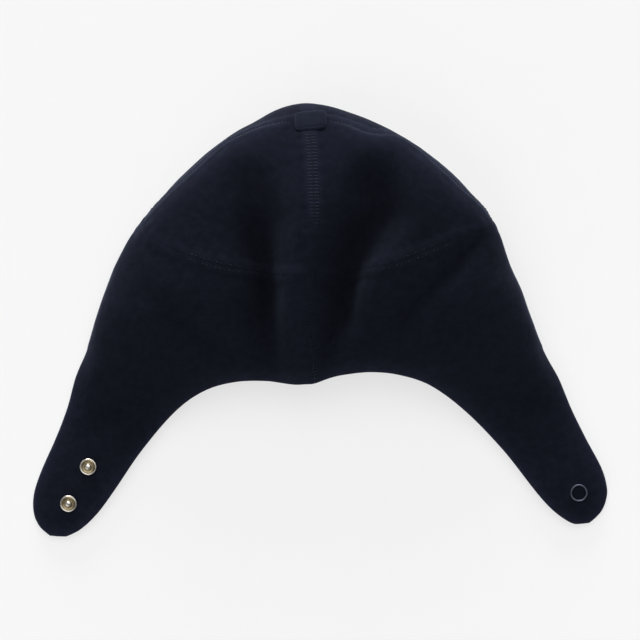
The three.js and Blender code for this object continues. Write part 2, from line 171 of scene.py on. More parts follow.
OUTLINE = (
    OutlineRow(0.0, -8.0, -8.0, -8.0),
    OutlineRow(4.0, -25.5, -6.5, 13.5),
    OutlineRow(10.0, -36.5, -6.0, 29.5),
    OutlineRow(15.5, -47.0, -6.0, 41.0),
    OutlineRow(27.0, -63.5, -5.0, 60.0),
    OutlineRow(38.5, -76.8, -4.3, 74.4),
    OutlineRow(50.0, -87.8, -3.9, 85.5),
    OutlineRow(61.5, -97.0, -3.5, 95.0),
    OutlineRow(73.0, -105.5, -3.3, 101.0),
    OutlineRow(90.5, -116.5, -4.2, 108.5),
    OutlineRow(107.5, -123.5, -5.4, 116.0),
    OutlineRow(125.0, -129.5, -6.4, 122.0),
    OutlineRow(142.0, -134.5, -4.8, 128.5),
    OutlineRow(159.5, -140.0, -3.0, 136.5),
    OutlineRow(176.5, -145.0, -3.0, 144.0),
    OutlineRow(194.0, -152.0, -3.0, 153.0),
    OutlineRow(211.0, -159.7, -3.0, 162.1),
    OutlineRow(222.5, -163.8, -3.0, 165.0),
    OutlineRow(229.0, -164.8, -3.0, 164.2),
    OutlineRow(234.0, -164.7, -3.0, 162.1),
    OutlineRow(237.0, -164.2, -3.0, 159.6),
    OutlineRow(239.0, -163.6, -3.0, 157.4),
    OutlineRow(240.4, -162.9, -3.0, 155.1),
    OutlineRow(241.4, -162.4, -3.0, 152.4),
    OutlineRow(242.6, -161.7, -3.0, 148.0),
    OutlineRow(244.0, -160.6, -3.0, 143.0),
    OutlineRow(245.6, -158.9, -3.0, 138.0),
    OutlineRow(247.2, -156.7, -3.0, 133.0),
    OutlineRow(248.3, -154.6, -3.0, 130.0),
    OutlineRow(248.9, -152.0, -3.0, 127.0),
)

PROFILE = (
    ProfileRow(0, 13.0, 32.0),
    ProfileRow(60, 13.0, 34.0),
    ProfileRow(110, 12.0, 33.0),
    ProfileRow(142, 7.5, 27.0),
    ProfileRow(160, 4.0, 22.0),
    ProfileRow(180, 2.4, 13.0),
    ProfileRow(200, 2.0, 8.5),
    ProfileRow(225, 2.0, 7.0),
    ProfileRow(249, 2.0, 5.0),
)

RIM = {
    Side.RIGHT: (
        RimPoint(-3.0, 160.5),
        RimPoint(12.0, 156.0),
        RimPoint(29.0, 154.0),
        RimPoint(46.5, 156.0),
        RimPoint(63.5, 162.0),
        RimPoint(83.0, 176.5),
        RimPoint(105.5, 199.5),
        RimPoint(123.6, 222.5),
        RimPoint(129.8, 229.8),
        RimPoint(135.4, 235.2),
        RimPoint(141.2, 239.5),
        RimPoint(144.0, 240.8),
        RimPoint(147.0, 241.6),
    ),
    Side.LEFT: (
        RimPoint(-3.0, 160.5),
        RimPoint(-14.0, 161.5),
        RimPoint(-31.5, 159.5),
        RimPoint(-48.5, 160.0),
        RimPoint(-66.0, 165.0),
        RimPoint(-82.5, 176.5),
        RimPoint(-102.5, 199.5),
        RimPoint(-118.3, 222.5),
        RimPoint(-126.2, 233.5),
        RimPoint(-132.0, 240.0),
        RimPoint(-137.7, 245.0),
        RimPoint(-141.8, 247.4),
        RimPoint(-146.3, 248.8),
    ),
}
TIP_DEPTH = {Side.LEFT: 248.3, Side.RIGHT: 240.8}
SEAM_BOW = {Side.LEFT: math.radians(4), Side.RIGHT: math.radians(8.5)}

SEAM_LEAN = {
    Side.RIGHT: (
        LeanRow(10, 0),
        LeanRow(17, 3),
        LeanRow(25, 8),
        LeanRow(31, 3),
        LeanRow(38, -8),
        LeanRow(44, -11),
        LeanRow(50, -6),
        LeanRow(57, 3),
        LeanRow(68, 8),
        LeanRow(80, 8),
        LeanRow(90, 6),
    ),
    Side.LEFT: (
        LeanRow(10, 3),
        LeanRow(20, 0),
        LeanRow(34, -3),
        LeanRow(46, -3),
        LeanRow(57, 6),
        LeanRow(66, 8),
        LeanRow(78, 9),
        LeanRow(90, 11),
    ),
}

FOLDS = (
    Fold(
        (
            FoldRow(40, -15.0, 0.0, 8.0, 8.0),
            FoldRow(70, -13.5, 2.2, 8.0, 8.0),
            FoldRow(110, -13.0, 2.8, 8.0, 8.0),
            FoldRow(140, -13.0, 2.2, 8.0, 8.0),
            FoldRow(165, -13.0, 1.2, 8.0, 8.0),
        ),
    ),
    Fold(
        (
            FoldRow(32, -43.0, 0.0, 11.0, 12.0),
            FoldRow(44, -41.0, -3.5, 12.0, 15.0),
            FoldRow(65, -37.0, -7.0, 13.0, 16.0),
            FoldRow(79, -36.0, -9.5, 13.0, 14.5),
            FoldRow(93, -33.5, -10.5, 12.0, 12.3),
            FoldRow(104, -31.5, -10.8, 11.0, 10.0),
            FoldRow(113, -31.0, -10.8, 11.0, 9.6),
            FoldRow(125, -30.5, -9.0, 11.0, 9.3),
            FoldRow(140, -29.5, -5.0, 10.0, 8.6),
            FoldRow(152, -28.5, -2.4, 10.0, 8.0),
            FoldRow(165, -28.0, -1.4, 10.0, 8.0),
        ),
        right_wall=3.4,
    ),
    Fold(
        (
            FoldRow(24, 33.0, 0.0, 10.0, 12.0),
            FoldRow(44, 33.0, -7.5, 16.0, 15.0),
            FoldRow(65, 34.0, -10.0, 22.0, 15.0),
            FoldRow(79, 26.0, -11.0, 19.0, 14.0),
            FoldRow(93, 21.0, -11.0, 17.5, 10.0),
            FoldRow(104, 18.0, -11.0, 16.5, 8.0),
            FoldRow(113, 16.5, -10.5, 15.5, 7.5),
            FoldRow(125, 13.5, -8.5, 14.0, 8.5),
            FoldRow(140, 7.0, -4.5, 10.0, 9.0),
            FoldRow(160, 1.0, 0.0, 8.0, 7.5),
        ),
        left_wall=2.4,
        right_wall=2.6,
    ),
    Fold(
        (
            FoldRow(62, 101.0, 0.0, 5.0, 6.0),
            FoldRow(71, 95.0, -2.8, 6.0, 7.0),
            FoldRow(93, 78.0, -3.6, 8.0, 9.0),
            FoldRow(113, 58.0, -3.2, 10.0, 11.0),
            FoldRow(128, 41.0, -2.0, 12.0, 12.0),
            FoldRow(146, 24.0, 0.0, 12.0, 12.0),
        ),
    ),
    Fold(
        (
            FoldRow(100, -104.0, 0.0, 10.0, 10.0),
            FoldRow(116, -88.0, -1.8, 11.0, 11.0),
            FoldRow(130, -72.0, -2.4, 12.0, 12.0),
            FoldRow(142, -56.0, -1.4, 12.0, 12.0),
            FoldRow(154, -42.0, 0.0, 12.0, 12.0),
        ),
    ),
    Fold(
        (
            FoldRow(154, 96.0, 0.0, 12.0, 12.0),
            FoldRow(168, 112.0, -1.6, 13.0, 12.0),
            FoldRow(184, 126.0, 0.0, 12.0, 10.0),
        ),
    ),
    Fold(
        (
            FoldRow(166, -104.0, 0.0, 12.0, 12.0),
            FoldRow(182, -121.0, -1.5, 12.0, 11.0),
            FoldRow(196, -134.0, 0.0, 10.0, 9.0),
        ),
    ),
)
FOLD_SHAPE = ("x", "height", "left", "right")

# Patches of painted shade and painted light, where the cloth is darker or lighter than its folds
# alone make it
SHADE_PATCHES = (
    ShadePatch(58.0, 68.0, 17.0, 15.0, -0.36),
    ShadePatch(-12.0, 62.0, 9.0, 22.0, -0.12),
    ShadePatch(50.0, 34.0, 20.0, 6.0, 0.3),
)


def painted_patch_shade(x: np.ndarray, depth: np.ndarray) -> np.ndarray:
    """Returns how the patches' painted light and shade lighten or darken the upper layer.

    Args:
        x: the places' x.
        depth: the places' depths below the crown's top.

    Returns:
        Shades, where 1 is that of a full fold.
    """
    total = np.zeros_like(x)
    for patch in SHADE_PATCHES:
        across = (x - patch.x) / patch.wide
        down = (depth - patch.depth) / patch.deep
        total += patch.shade * np.exp(-(across**2) - down**2)
    return total


def smoothstep(value: np.ndarray, low: float, high: float) -> np.ndarray:
    """Returns a smooth step from 0 at low to 1 at high."""
    t = np.clip((np.asarray(value, float) - low) / (high - low), 0, 1)
    return t * t * (3 - 2 * t)


def read(places: np.ndarray, values: np.ndarray, at: np.ndarray) -> np.ndarray:
    """Reads a smooth curve through a table's rows.

    Args:
        places: the rows' places, rising.
        values: the column to read.
        at: the places to read it at.

    Returns:
        The curve's values, held at both ends.
    """
    places = np.asarray(places, float)
    values = np.asarray(values, float)
    at = np.asarray(at, float)
    k = np.clip(np.searchsorted(places, at) - 1, 0, len(places) - 2)
    slope = np.empty_like(values)
    slope[1:-1] = (values[2:] - values[:-2]) / (places[2:] - places[:-2])
    slope[0] = (values[1] - values[0]) / (places[1] - places[0])
    slope[-1] = (values[-1] - values[-2]) / (places[-1] - places[-2])
    span = places[k + 1] - places[k]
    t = np.clip((at - places[k]) / span, 0, 1)
    level = (2 * t**3 - 3 * t**2 + 1) * values[k] + (3 * t**2 - 2 * t**3) * values[k + 1]
    return level + span * ((t**3 - 2 * t**2 + t) * slope[k] + (t**3 - t**2) * slope[k + 1])


def column(rows: Sequence[NamedTuple], name: str) -> np.ndarray:
    """Returns one named column of a table."""
    return np.array([getattr(row, name) for row in rows], float)


class HatForm:
    """The middle of the hat's cloth, as a map from turn and latitude to points in mm.

    The turn goes round the hat: 0 is the right fold, a quarter the middle of the back and a
    half the left fold. The latitude runs over the dome and on below it as a length.
    """

    def __init__(self) -> None:
        """Moves the outline's edges in by half a wall."""
        self.edges = {side: self._middle_edge(side) for side in Side}

    @staticmethod
    def _middle_edge(side: Side) -> tuple[np.ndarray, np.ndarray]:
        """Works out the cloth's middle along one edge.

        Args:
            side: the wearer's side.

        Returns:
            The roots of the depths, and x at them.
        """
        depth = column(OUTLINE, "depth")
        x = column(OUTLINE, side.value)
        run = np.empty_like(x)
        drop = np.empty_like(x)
        run[1:-1], drop[1:-1] = x[2:] - x[:-2], depth[2:] - depth[:-2]
        run[-1], drop[-1] = x[-1] - x[-2], depth[-1] - depth[-2]
        run[0], drop[0] = 0.0, 1.0
        length = np.hypot(run, drop)
        inwards = -1 if side is Side.RIGHT else 1
        opened = smoothstep(depth, KINK_DEPTH, KINK_DEPTH + KINK_REACH)
        inset = HALF_WALL + (OPEN_INSET - HALF_WALL) * opened
        moved = x + inwards * inset * drop / length
        low = depth - inwards * inset * run / length
        root = np.sqrt(np.maximum(low - HALF_WALL, 0))
        moved[0], root[0] = x[0], 0.0
        return root, moved

    def edge(self, side: Side, depth: np.ndarray) -> np.ndarray:
        """Returns x of the cloth's middle at the fold or flap edge of a side."""
        root, x = self.edges[side]
        return read(root, x, np.sqrt(np.maximum(np.asarray(depth, float) - HALF_WALL, 0)))

    def seam_x(self, depth: np.ndarray) -> np.ndarray:
        """Returns x of the centre-back seam."""
        return read(column(OUTLINE, "depth"), column(OUTLINE, "seam"), depth)

    def spans(self, depth: np.ndarray) -> tuple[np.ndarray, np.ndarray, np.ndarray]:
        """Measures the hat's width at a depth.

        Args:
            depth: the places' depths.

        Returns:
            x of the centre-back seam, and the widths to its right and left.
        """
        seam = self.seam_x(depth)
        return seam, self.edge(Side.RIGHT, depth) - seam, seam - self.edge(Side.LEFT, depth)

    @staticmethod
    def latitude_of(depth: np.ndarray) -> np.ndarray:
        """Returns the latitude at a depth."""
        height = 1 - (np.asarray(depth, float) - HALF_WALL) / DOME
        return np.where(height > 0, np.arcsin(np.clip(height, -1, 1)), height)

    @staticmethod
    def fold_height(x: np.ndarray, depth: np.ndarray) -> np.ndarray:
        """Works out the height that the soft folds add to the upper layer.

        Args:
            x: the places' x.
            depth: the places' depths.

        Returns:
            Heights in mm, less than 0 in a dent.
        """
        total = np.zeros_like(x)
        for fold in FOLDS:
            places = column(fold.rows, "depth")
            at = {name: read(places, column(fold.rows, name), depth) for name in FOLD_SHAPE}
            offset = x - at["x"]
            wide = np.where(offset < 0, at["left"], at["right"])
            wall = np.where(offset < 0, fold.left_wall, fold.right_wall)
            total += at["height"] * np.exp(-(np.abs(offset / wide) ** wall))
        return total

    def points(self, turn: np.ndarray, latitude: np.ndarray) -> np.ndarray:
        """Maps turn and latitude to points.

        Args:
            turn: angles round the hat.
            latitude: angles over the dome, lengths below it.

        Returns:
            An array of the same shape with x, y, z in mm as its last axis.
        """
        dome = latitude > 0
        ring = np.where(dome, np.cos(latitude), 1.0)
        height = np.where(dome, np.sin(latitude), latitude)
        depth = HALF_WALL + DOME * (1 - height)
        across = np.cos(turn)
        seam, right, left = self.spans(depth)
        x = seam + np.where(across > 0, right, left) * across
        up = ring * np.sin(turn)
        rows = column(PROFILE, "depth")
        fold = read(rows, column(PROFILE, "fold"), depth)
        flat = np.sin(QUARTER * np.clip(-up / FLAT_FROM, 0, 1))
        low = fold - (fold - HALF_WALL) * flat
        rise = read(rows, column(PROFILE, "rise"), depth) * up
        high = fold + rise + self.fold_height(x, depth) * smoothstep(up, *FOLD_RANGE)
        return np.stack([x, CROWN_TOP - depth, np.where(up < 0, low, high)], axis=-1)

    def seen_at(self, x: np.ndarray, depth: np.ndarray) -> tuple[np.ndarray, np.ndarray]:
        """Finds places seen from above on the upper layer.

        Args:
            x: the places' x.
            depth: the places' depths.

        Returns:
            Their turns and latitudes.
        """
        x = np.asarray(x, float)
        depth = np.asarray(depth, float)
        seam, right, left = self.spans(depth)
        share = (x - seam) / np.where(x > seam, right, left)
        return np.arccos(np.clip(share, -1, 1)), self.latitude_of(depth)

    def normals(self, turn: np.ndarray, latitude: np.ndarray) -> np.ndarray:
        """Works out unit normals that point out of the hat.

        Args:
            turn: angles round the hat.
            latitude: angles over the dome, lengths below it.

        Returns:
            The normals, with x, y, z as the last axis.
        """
        small = 2e-3
        east = self.points(turn + small, latitude) - self.points(turn - small, latitude)
        north = self.points(turn, latitude + small) - self.points(turn, latitude - small)
        normal = np.cross(north, east)
        return normal / np.maximum(np.linalg.norm(normal, axis=-1, keepdims=True), 1e-9)

    @staticmethod
    def from_crossing(angle: np.ndarray, direction: np.ndarray) -> tuple:
        """Finds places from the crossing of the crown's seams.

        Args:
            angle: angles from the crossing.
            direction: directions round it, 0 to the right.

        Returns:
            Their turns and latitudes.
        """
        cos_t, sin_t = math.cos(CROSSING_TILT), math.sin(CROSSING_TILT)
        nx = np.sin(angle) * np.cos(direction)
        ny = np.cos(angle) * cos_t - np.sin(angle) * np.sin(direction) * sin_t
        nz = np.cos(angle) * sin_t + np.sin(angle) * np.sin(direction) * cos_t
        return np.arctan2(nz, nx), np.arcsin(np.clip(ny, -1, 1))

    @staticmethod
    def seam_direction(number: int, angle: np.ndarray) -> np.ndarray:
        """Returns the direction of a crossing seam at angles from the crossing.

        Args:
            number: 0 and 4 right side, 1 back, 2 left side and 3 front.
            angle: angles from the crossing.

        Returns:
            Directions in radians.
        """
        straight = np.full_like(np.asarray(angle, float), number * QUARTER)
        if number % 2:
            return straight
        side = Side.LEFT if number == 2 else Side.RIGHT
        rows = SEAM_LEAN[side]
        lean = read(column(rows, "angle"), column(rows, "lean"), np.degrees(angle))
        return straight + np.radians(lean) * (-1 if side is Side.LEFT else 1)

    @staticmethod
    def seam_bow(direction: np.ndarray) -> np.ndarray:
        """Works out how far the ring seam bows towards the crown.

        Args:
            direction: directions round the crossing.

        Returns:
            Angles in radians.
        """
        direction = np.asarray(direction, float)
        right = np.cos(direction) > 0
        bow = np.where(right, SEAM_BOW[Side.RIGHT], SEAM_BOW[Side.LEFT])
        return np.where(np.sin(direction) > 0, bow * np.sin(2 * direction) ** 2, 0.0)

    def ring_seam(self, direction: np.ndarray, offset: float = 0.0) -> tuple:
        """Finds places on the seam between crown and sides.

        Args:
            direction: directions round the crossing.
            offset: a shift away from the crown in mm.

        Returns:
            Their turns and latitudes.
        """
        return self.from_crossing(
            QUARTER - self.seam_bow(direction) + offset / DOME, np.asarray(direction, float)
        )


HAT = HatForm()


def lengths_along(points: np.ndarray) -> np.ndarray:
    """Returns the running length along a line of points."""
    steps = np.linalg.norm(np.diff(points, axis=0), axis=1)
    return np.concatenate([[0.0], np.cumsum(steps)])


def tree_of(points: Sequence[Sequence[float]]) -> kdtree.KDTree:
    """Puts points in a tree that finds the nearest of them.

    Args:
        points: the points.

    Returns:
        The tree, which numbers the points in their order.
    """
    tree = kdtree.KDTree(len(points))
    for k, point in enumerate(points):
        tree.insert(point, k)
    tree.balance()
    return tree


class SeamLine:
    """One sewn seam of the hat as a dense line of points, normals and side vectors."""

    STEP = 0.3
    SAMPLES = 1600

    def __init__(self, name: str, turn: np.ndarray, latitude: np.ndarray) -> None:
        """Samples the seam.

        Args:
            name: the seam's plain name.
            turn: turns along the seam.
            latitude: latitudes along the seam.
        """
        self.name = name
        fine = np.linspace(0, len(turn) - 1, self.SAMPLES)
        index = np.arange(len(turn))
        turn = np.interp(fine, index, turn)
        latitude = np.interp(fine, index, latitude)
        points = HAT.points(turn, latitude)
        along = lengths_along(points)
        marks = np.arange(0, along[-1], self.STEP)
        turn = np.interp(marks, along, turn)
        latitude = np.interp(marks, along, latitude)
        self.points = HAT.points(turn, latitude)
        self.normal = HAT.normals(turn, latitude)
        tangent = np.gradient(self.points, axis=0)
        self.tangent = tangent / np.linalg.norm(tangent, axis=1, keepdims=True)
        self.across = np.cross(self.normal, self.tangent)

    @property
    def length(self) -> float:
        """The seam's length in mm."""
        return (len(self.points) - 1) * self.STEP

    def index_at(self, along: float) -> int:
        """Returns the number of the point at a length along the seam."""
        return int(round(min(max(along, 0), self.length) / self.STEP))

    def frame_at(self, k: int) -> tuple[np.ndarray, np.ndarray, np.ndarray, np.ndarray]:
        """Returns (point, tangent, across, normal) of one of the seam's points."""
        return self.points[k], self.tangent[k], self.across[k], self.normal[k]


def make_seams() -> dict[str, SeamLine]:
    """Lays out the hat's seams.

    Returns:
        The seams by name.
    """
    angles = np.linspace(SEAM_START / DOME, QUARTER, 60)
    ring = np.linspace(RING_START, math.pi - RING_START, 90)
    back = HAT.from_crossing(angles, np.full_like(angles, QUARTER))
    depth = np.linspace(BACK_RING_DEPTH, NAPE_END_DEPTH, 40)
    below = HAT.seen_at(HAT.seam_x(depth), depth)
    low = below[1] < back[1][-1] - 1e-3
    seams = {
        "back": (
            np.concatenate([back[0], below[0][low]]),
            np.concatenate([back[1], below[1][low]]),
        ),
        "right": HAT.from_crossing(angles, HAT.seam_direction(0, angles)),
        "left": HAT.from_crossing(angles, HAT.seam_direction(2, angles)),
        "front": HAT.from_crossing(angles, np.full_like(angles, -QUARTER)),
        "ring_back": HAT.ring_seam(ring),
        "ring_front": HAT.ring_seam(-ring),
    }
    front_ring_depth = DOME * (1 - math.sin(CROSSING_TILT)) + HALF_WALL
    front_depth = np.linspace(front_ring_depth, BAND_END_DEPTH, 30)
    seams["front_band"] = (np.full_like(front_depth, -QUARTER), HAT.latitude_of(front_depth))
    return {name: SeamLine(name, *line) for name, line in seams.items()}


class SeamField:
    """Nearness of any point to some of the hat's seams."""

    NEXT_SEAM = 1000.0

    def __init__(self, lines: Sequence[SeamLine]) -> None:
        """Puts every seam's points in one tree.

        Args:
            lines: the seams.
        """
        self.tree = tree_of([point for line in lines for point in line.points])
        self.along = np.concatenate([
            np.arange(len(line.points)) * SeamLine.STEP + number * self.NEXT_SEAM
            for number, line in enumerate(lines)
        ])

    def nearest(self, points: np.ndarray) -> tuple[np.ndarray, np.ndarray]:
        """Finds the nearest seam of each point.

        Args:
            points: points on the hat in mm.

        Returns:
            Distances from the seam and lengths along it, which go on from seam to seam.
        """
        found = [self.tree.find(p) for p in points]
        distance = np.array([f[2] for f in found])
        return distance, self.along[[f[1] for f in found]]


class HatSeams:
    """All seams of the hat, with the nearness to every seam and to the side seams."""

    SIDE_SEAMS = ("right", "left")

    def __init__(self) -> None:
        """Lays the seams out and puts them in their trees."""
        self.lines = make_seams()
        self.all = SeamField(list(self.lines.values()))
        self.sides = SeamField([self.lines[name] for name in self.SIDE_SEAMS])


def wave_noise(points: np.ndarray, size: float, seed: float) -> np.ndarray:
    """Makes smooth noise.

    Args:
        points: points of the cloth in mm.
        size: the wavelength in mm.
        seed: picks one of many patterns.

    Returns:
        Values from -1 to 1.
    """
    shift = Vector((seed * 7.31, seed * 3.17, seed * 5.53))
    return np.array([noise.noise(Vector(p) / size + shift) for p in points])


@dataclass(frozen=True)
class SeamRelief:
    """How a sewn seam shapes the cloth beside it, in mm.

    Puckers drift by an amount and at a pace along the seam. The shoulder beside a side seam is
    a sum of heights, each with its reach, and sets in as the cloth turns to face up.
    """

    pad: float = 0.75
    pad_reach: float = 4.6
    groove: float = 0.04
    groove_reach: float = 0.5
    pucker: float = 0.12
    pucker_step: float = 6.5
    pucker_drift: tuple = (1.7, 0.11)
    pucker_place: float = 5.0
    pucker_reach: float = 4.5
    shoulder: tuple = ((1.6, 2.2), (1.8, 8.0))
    shoulder_end: float = 20.0
    shoulder_facing: tuple = (0.05, 0.45)

    def raised(
        self, distance: np.ndarray, points: np.ndarray, normals: np.ndarray
    ) -> np.ndarray:
        """Returns the fullness of the back's cloth beside a side seam.

        Args:
            distance: distances from the side seam.
            points: points of the cloth.
            normals: the cloth's normals there.

        Returns:
            Heights along the normals, none at the seam itself and beside the top tab.
        """
        rise = sum(high * (1 - np.exp(-((distance / far) ** 2))) for high, far in self.shoulder)
        end = np.exp(-((distance / self.shoulder_end) ** 2))
        aside = smoothstep(np.abs(points[:, 0] - TAB_MIDDLE), *TAB_ROOM)
        return rise * end * aside * smoothstep(normals[:, 2], *self.shoulder_facing)

    def height(self, distance: np.ndarray, along: np.ndarray) -> np.ndarray:
        """Works out the relief beside a seam.

        Args:
            distance: distances from the seam.
            along: lengths along it.

        Returns:
            Heights along the normals.
        """
        pad = self.pad * np.exp(-((distance / self.pad_reach) ** 4))
        groove = -self.groove * np.exp(-((distance / self.groove_reach) ** 2))
        drift = self.pucker_drift[0] * np.sin(along * self.pucker_drift[1])
        wave = np.sin(along * 2 * math.pi / self.pucker_step + drift)
        fade = np.exp(-((distance - self.pucker_place) / self.pucker_reach) ** 2)
        return pad + groove + self.pucker * wave * fade


@dataclass(frozen=True)
class ClothRelief:
    """Everyday unevenness of the fleece, in mm."""

    broad: float = 0.9
    broad_size: float = 42.0
    middle: float = 0.28
    middle_size: float = 13.0
    fine: float = 0.05
    fine_size: float = 2.6

    def height(self, points: np.ndarray) -> np.ndarray:
        """Works out the everyday unevenness.

        Args:
            points: points on the cloth.

        Returns:
            Heights along the normals.
        """
        total = self.broad * wave_noise(points, self.broad_size, 1.0)
        total += self.middle * wave_noise(points, self.middle_size, 2.0)
        return total + self.fine * wave_noise(points, self.fine_size, 3.0)


@dataclass(frozen=True)
class SurfaceRelief:
    """The whole relief of the hat's cloth: seams, everyday unevenness and the table.

    It is calmer where the cloth faces the crown's top, and fades over ranges of height where
    the under and upper layers come down to the table.
    """

    seam: SeamRelief = SeamRelief()
    cloth: ClothRelief = ClothRelief()
    top_calm: float = 0.8
    top_facing: tuple = (0.72, 0.95)
    under_range: tuple = (HALF_WALL + 0.5, HALF_WALL + 9.0)
    upper_range: tuple = (2.0, 7.0)
    upper_least: float = 0.15

    def height(
        self, points: np.ndarray, normals: np.ndarray, distance: np.ndarray, along: np.ndarray
    ) -> np.ndarray:
        """Returns the relief at points of the cloth's middle, in mm.

        Args:
            points: points on the plain form.
            normals: the form's normals there.
            distance: distances from the nearest seam.
            along: lengths along that seam.

        Returns:
            Heights along the normals, almost none where the cloth lies on the table.
        """
        height = self.seam.height(distance, along) + self.cloth.height(points)
        height = height * (1 - self.top_calm * smoothstep(normals[:, 1], *self.top_facing))
        below = smoothstep(points[:, 2], *self.under_range)
        above = smoothstep(points[:, 2], *self.upper_range)
        above = above * (1 - self.upper_least) + self.upper_least
        return height * np.where(normals[:, 2] < 0, below, above)


@dataclass(frozen=True)
class RimStyle:
    """How open rims roll down, take a painted highlight as the seams' ridges do, and end in rounded
    flap tips, in mm.

    Each tip has its x and how much longer it is there. A range is where something sets in or
    fades: over height for the roll, depth for the ladder and length below the middle for tips.
    """

    roll: float = 3.0
    roll_reach: float = 6.5
    roll_range: tuple = (HALF_WALL + 1.5, HALF_WALL + 12.0)
    highlight_reach: float = 3.0
    ladder_highlight: float = 0.35
    ladder_reach: float = 4.5
    ladder_fade: tuple = (50.0, 80.0)
    side_highlight: float = 0.5
    side_reach: float = 7.0
    tips: tuple = ((-149.8, 0.6), (149.8, 0.65))
    tip_reach: float = 8.0
    tip_range: tuple = (104.0, 116.0)


class PanelGrid(NamedTuple):
    """A grid of places on the hat and which of its points lie on sewn edges."""

    turn: np.ndarray
    latitude: np.ndarray
    sewn: np.ndarray


# Grid lines near a panel's edge in mm, and the share of a short line that they may take up
NEAR_EDGE = (0.0, 0.08, 0.3, 0.65, 1.1, 1.6)
NEAR_SHARE = 0.2


def edge_spread(count: int, length: np.ndarray) -> np.ndarray:
    """Spreads grid lines over a length, closer together near both ends.

    Args:
        count: the number of steps.
        length: lengths in mm, one for each line that is divided.

    Returns:
        Shares from 0 to 1, one row for each length.
    """
    near = np.array(NEAR_EDGE)
    length = np.maximum(np.asarray(length, float), 1e-3)[:, None]
    scale = np.minimum(1.0, NEAR_SHARE * length / near[-1])
    start = near[None, :] * scale / length
    middle_count = count - 2 * (len(near) - 1)
    share = np.linspace(0, 1, middle_count + 1)[None, 1:-1]
    inner = start[:, -1:] + (1 - 2 * start[:, -1:]) * share
    return np.concatenate([start, inner, 1 - start[:, ::-1]], axis=1)


class MeshTools:
    """Shared steps that turn grids of points into finished meshes."""

    @staticmethod
    def grid(bm: bmesh.types.BMesh, points: np.ndarray) -> list:
        """Adds a grid whose vertices take the given points.

        Args:
            bm: the mesh to add to.
            points: an array of rows, columns and x, y, z in mm.

        Returns:
            The new vertices, row by row.
        """
        rows, columns = points.shape[:2]
        made = bmesh.ops.create_grid(bm, x_segments=columns - 1, y_segments=rows - 1, size=0.5)
        ordered: list = [None] * (rows * columns)
        for vert in made["verts"]:
            i = int(round((vert.co.y + 0.5) * (rows - 1)))
            j = int(round((vert.co.x + 0.5) * (columns - 1)))
            ordered[i * columns + j] = vert
        flat = points.reshape(-1, 3)
        for vert, point in zip(ordered, flat):
            vert.co = point
        return ordered

    @staticmethod
    def finish(bm: bmesh.types.BMesh, name: str, material: bpy.types.Material) -> bpy.types.Object:
        """Turns a mesh in mm into a smooth object in metres that rides on the hat.

        Args:
            bm: the mesh, which is used up.
            name: the piece's name.
            material: its material.

        Returns:
            The new object.
        """
        bmesh.ops.scale(bm, vec=(MM, MM, MM), verts=bm.verts)
        for face in bm.faces:
            face.smooth = True
        mesh = bpy.data.meshes.new(name)
        bm.to_mesh(mesh)
        bm.free()
        piece = bpy.data.objects.new(name, mesh)
        bpy.context.scene.collection.objects.link(piece)
        mesh.materials.append(material)
        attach(piece, "root")
        return piece


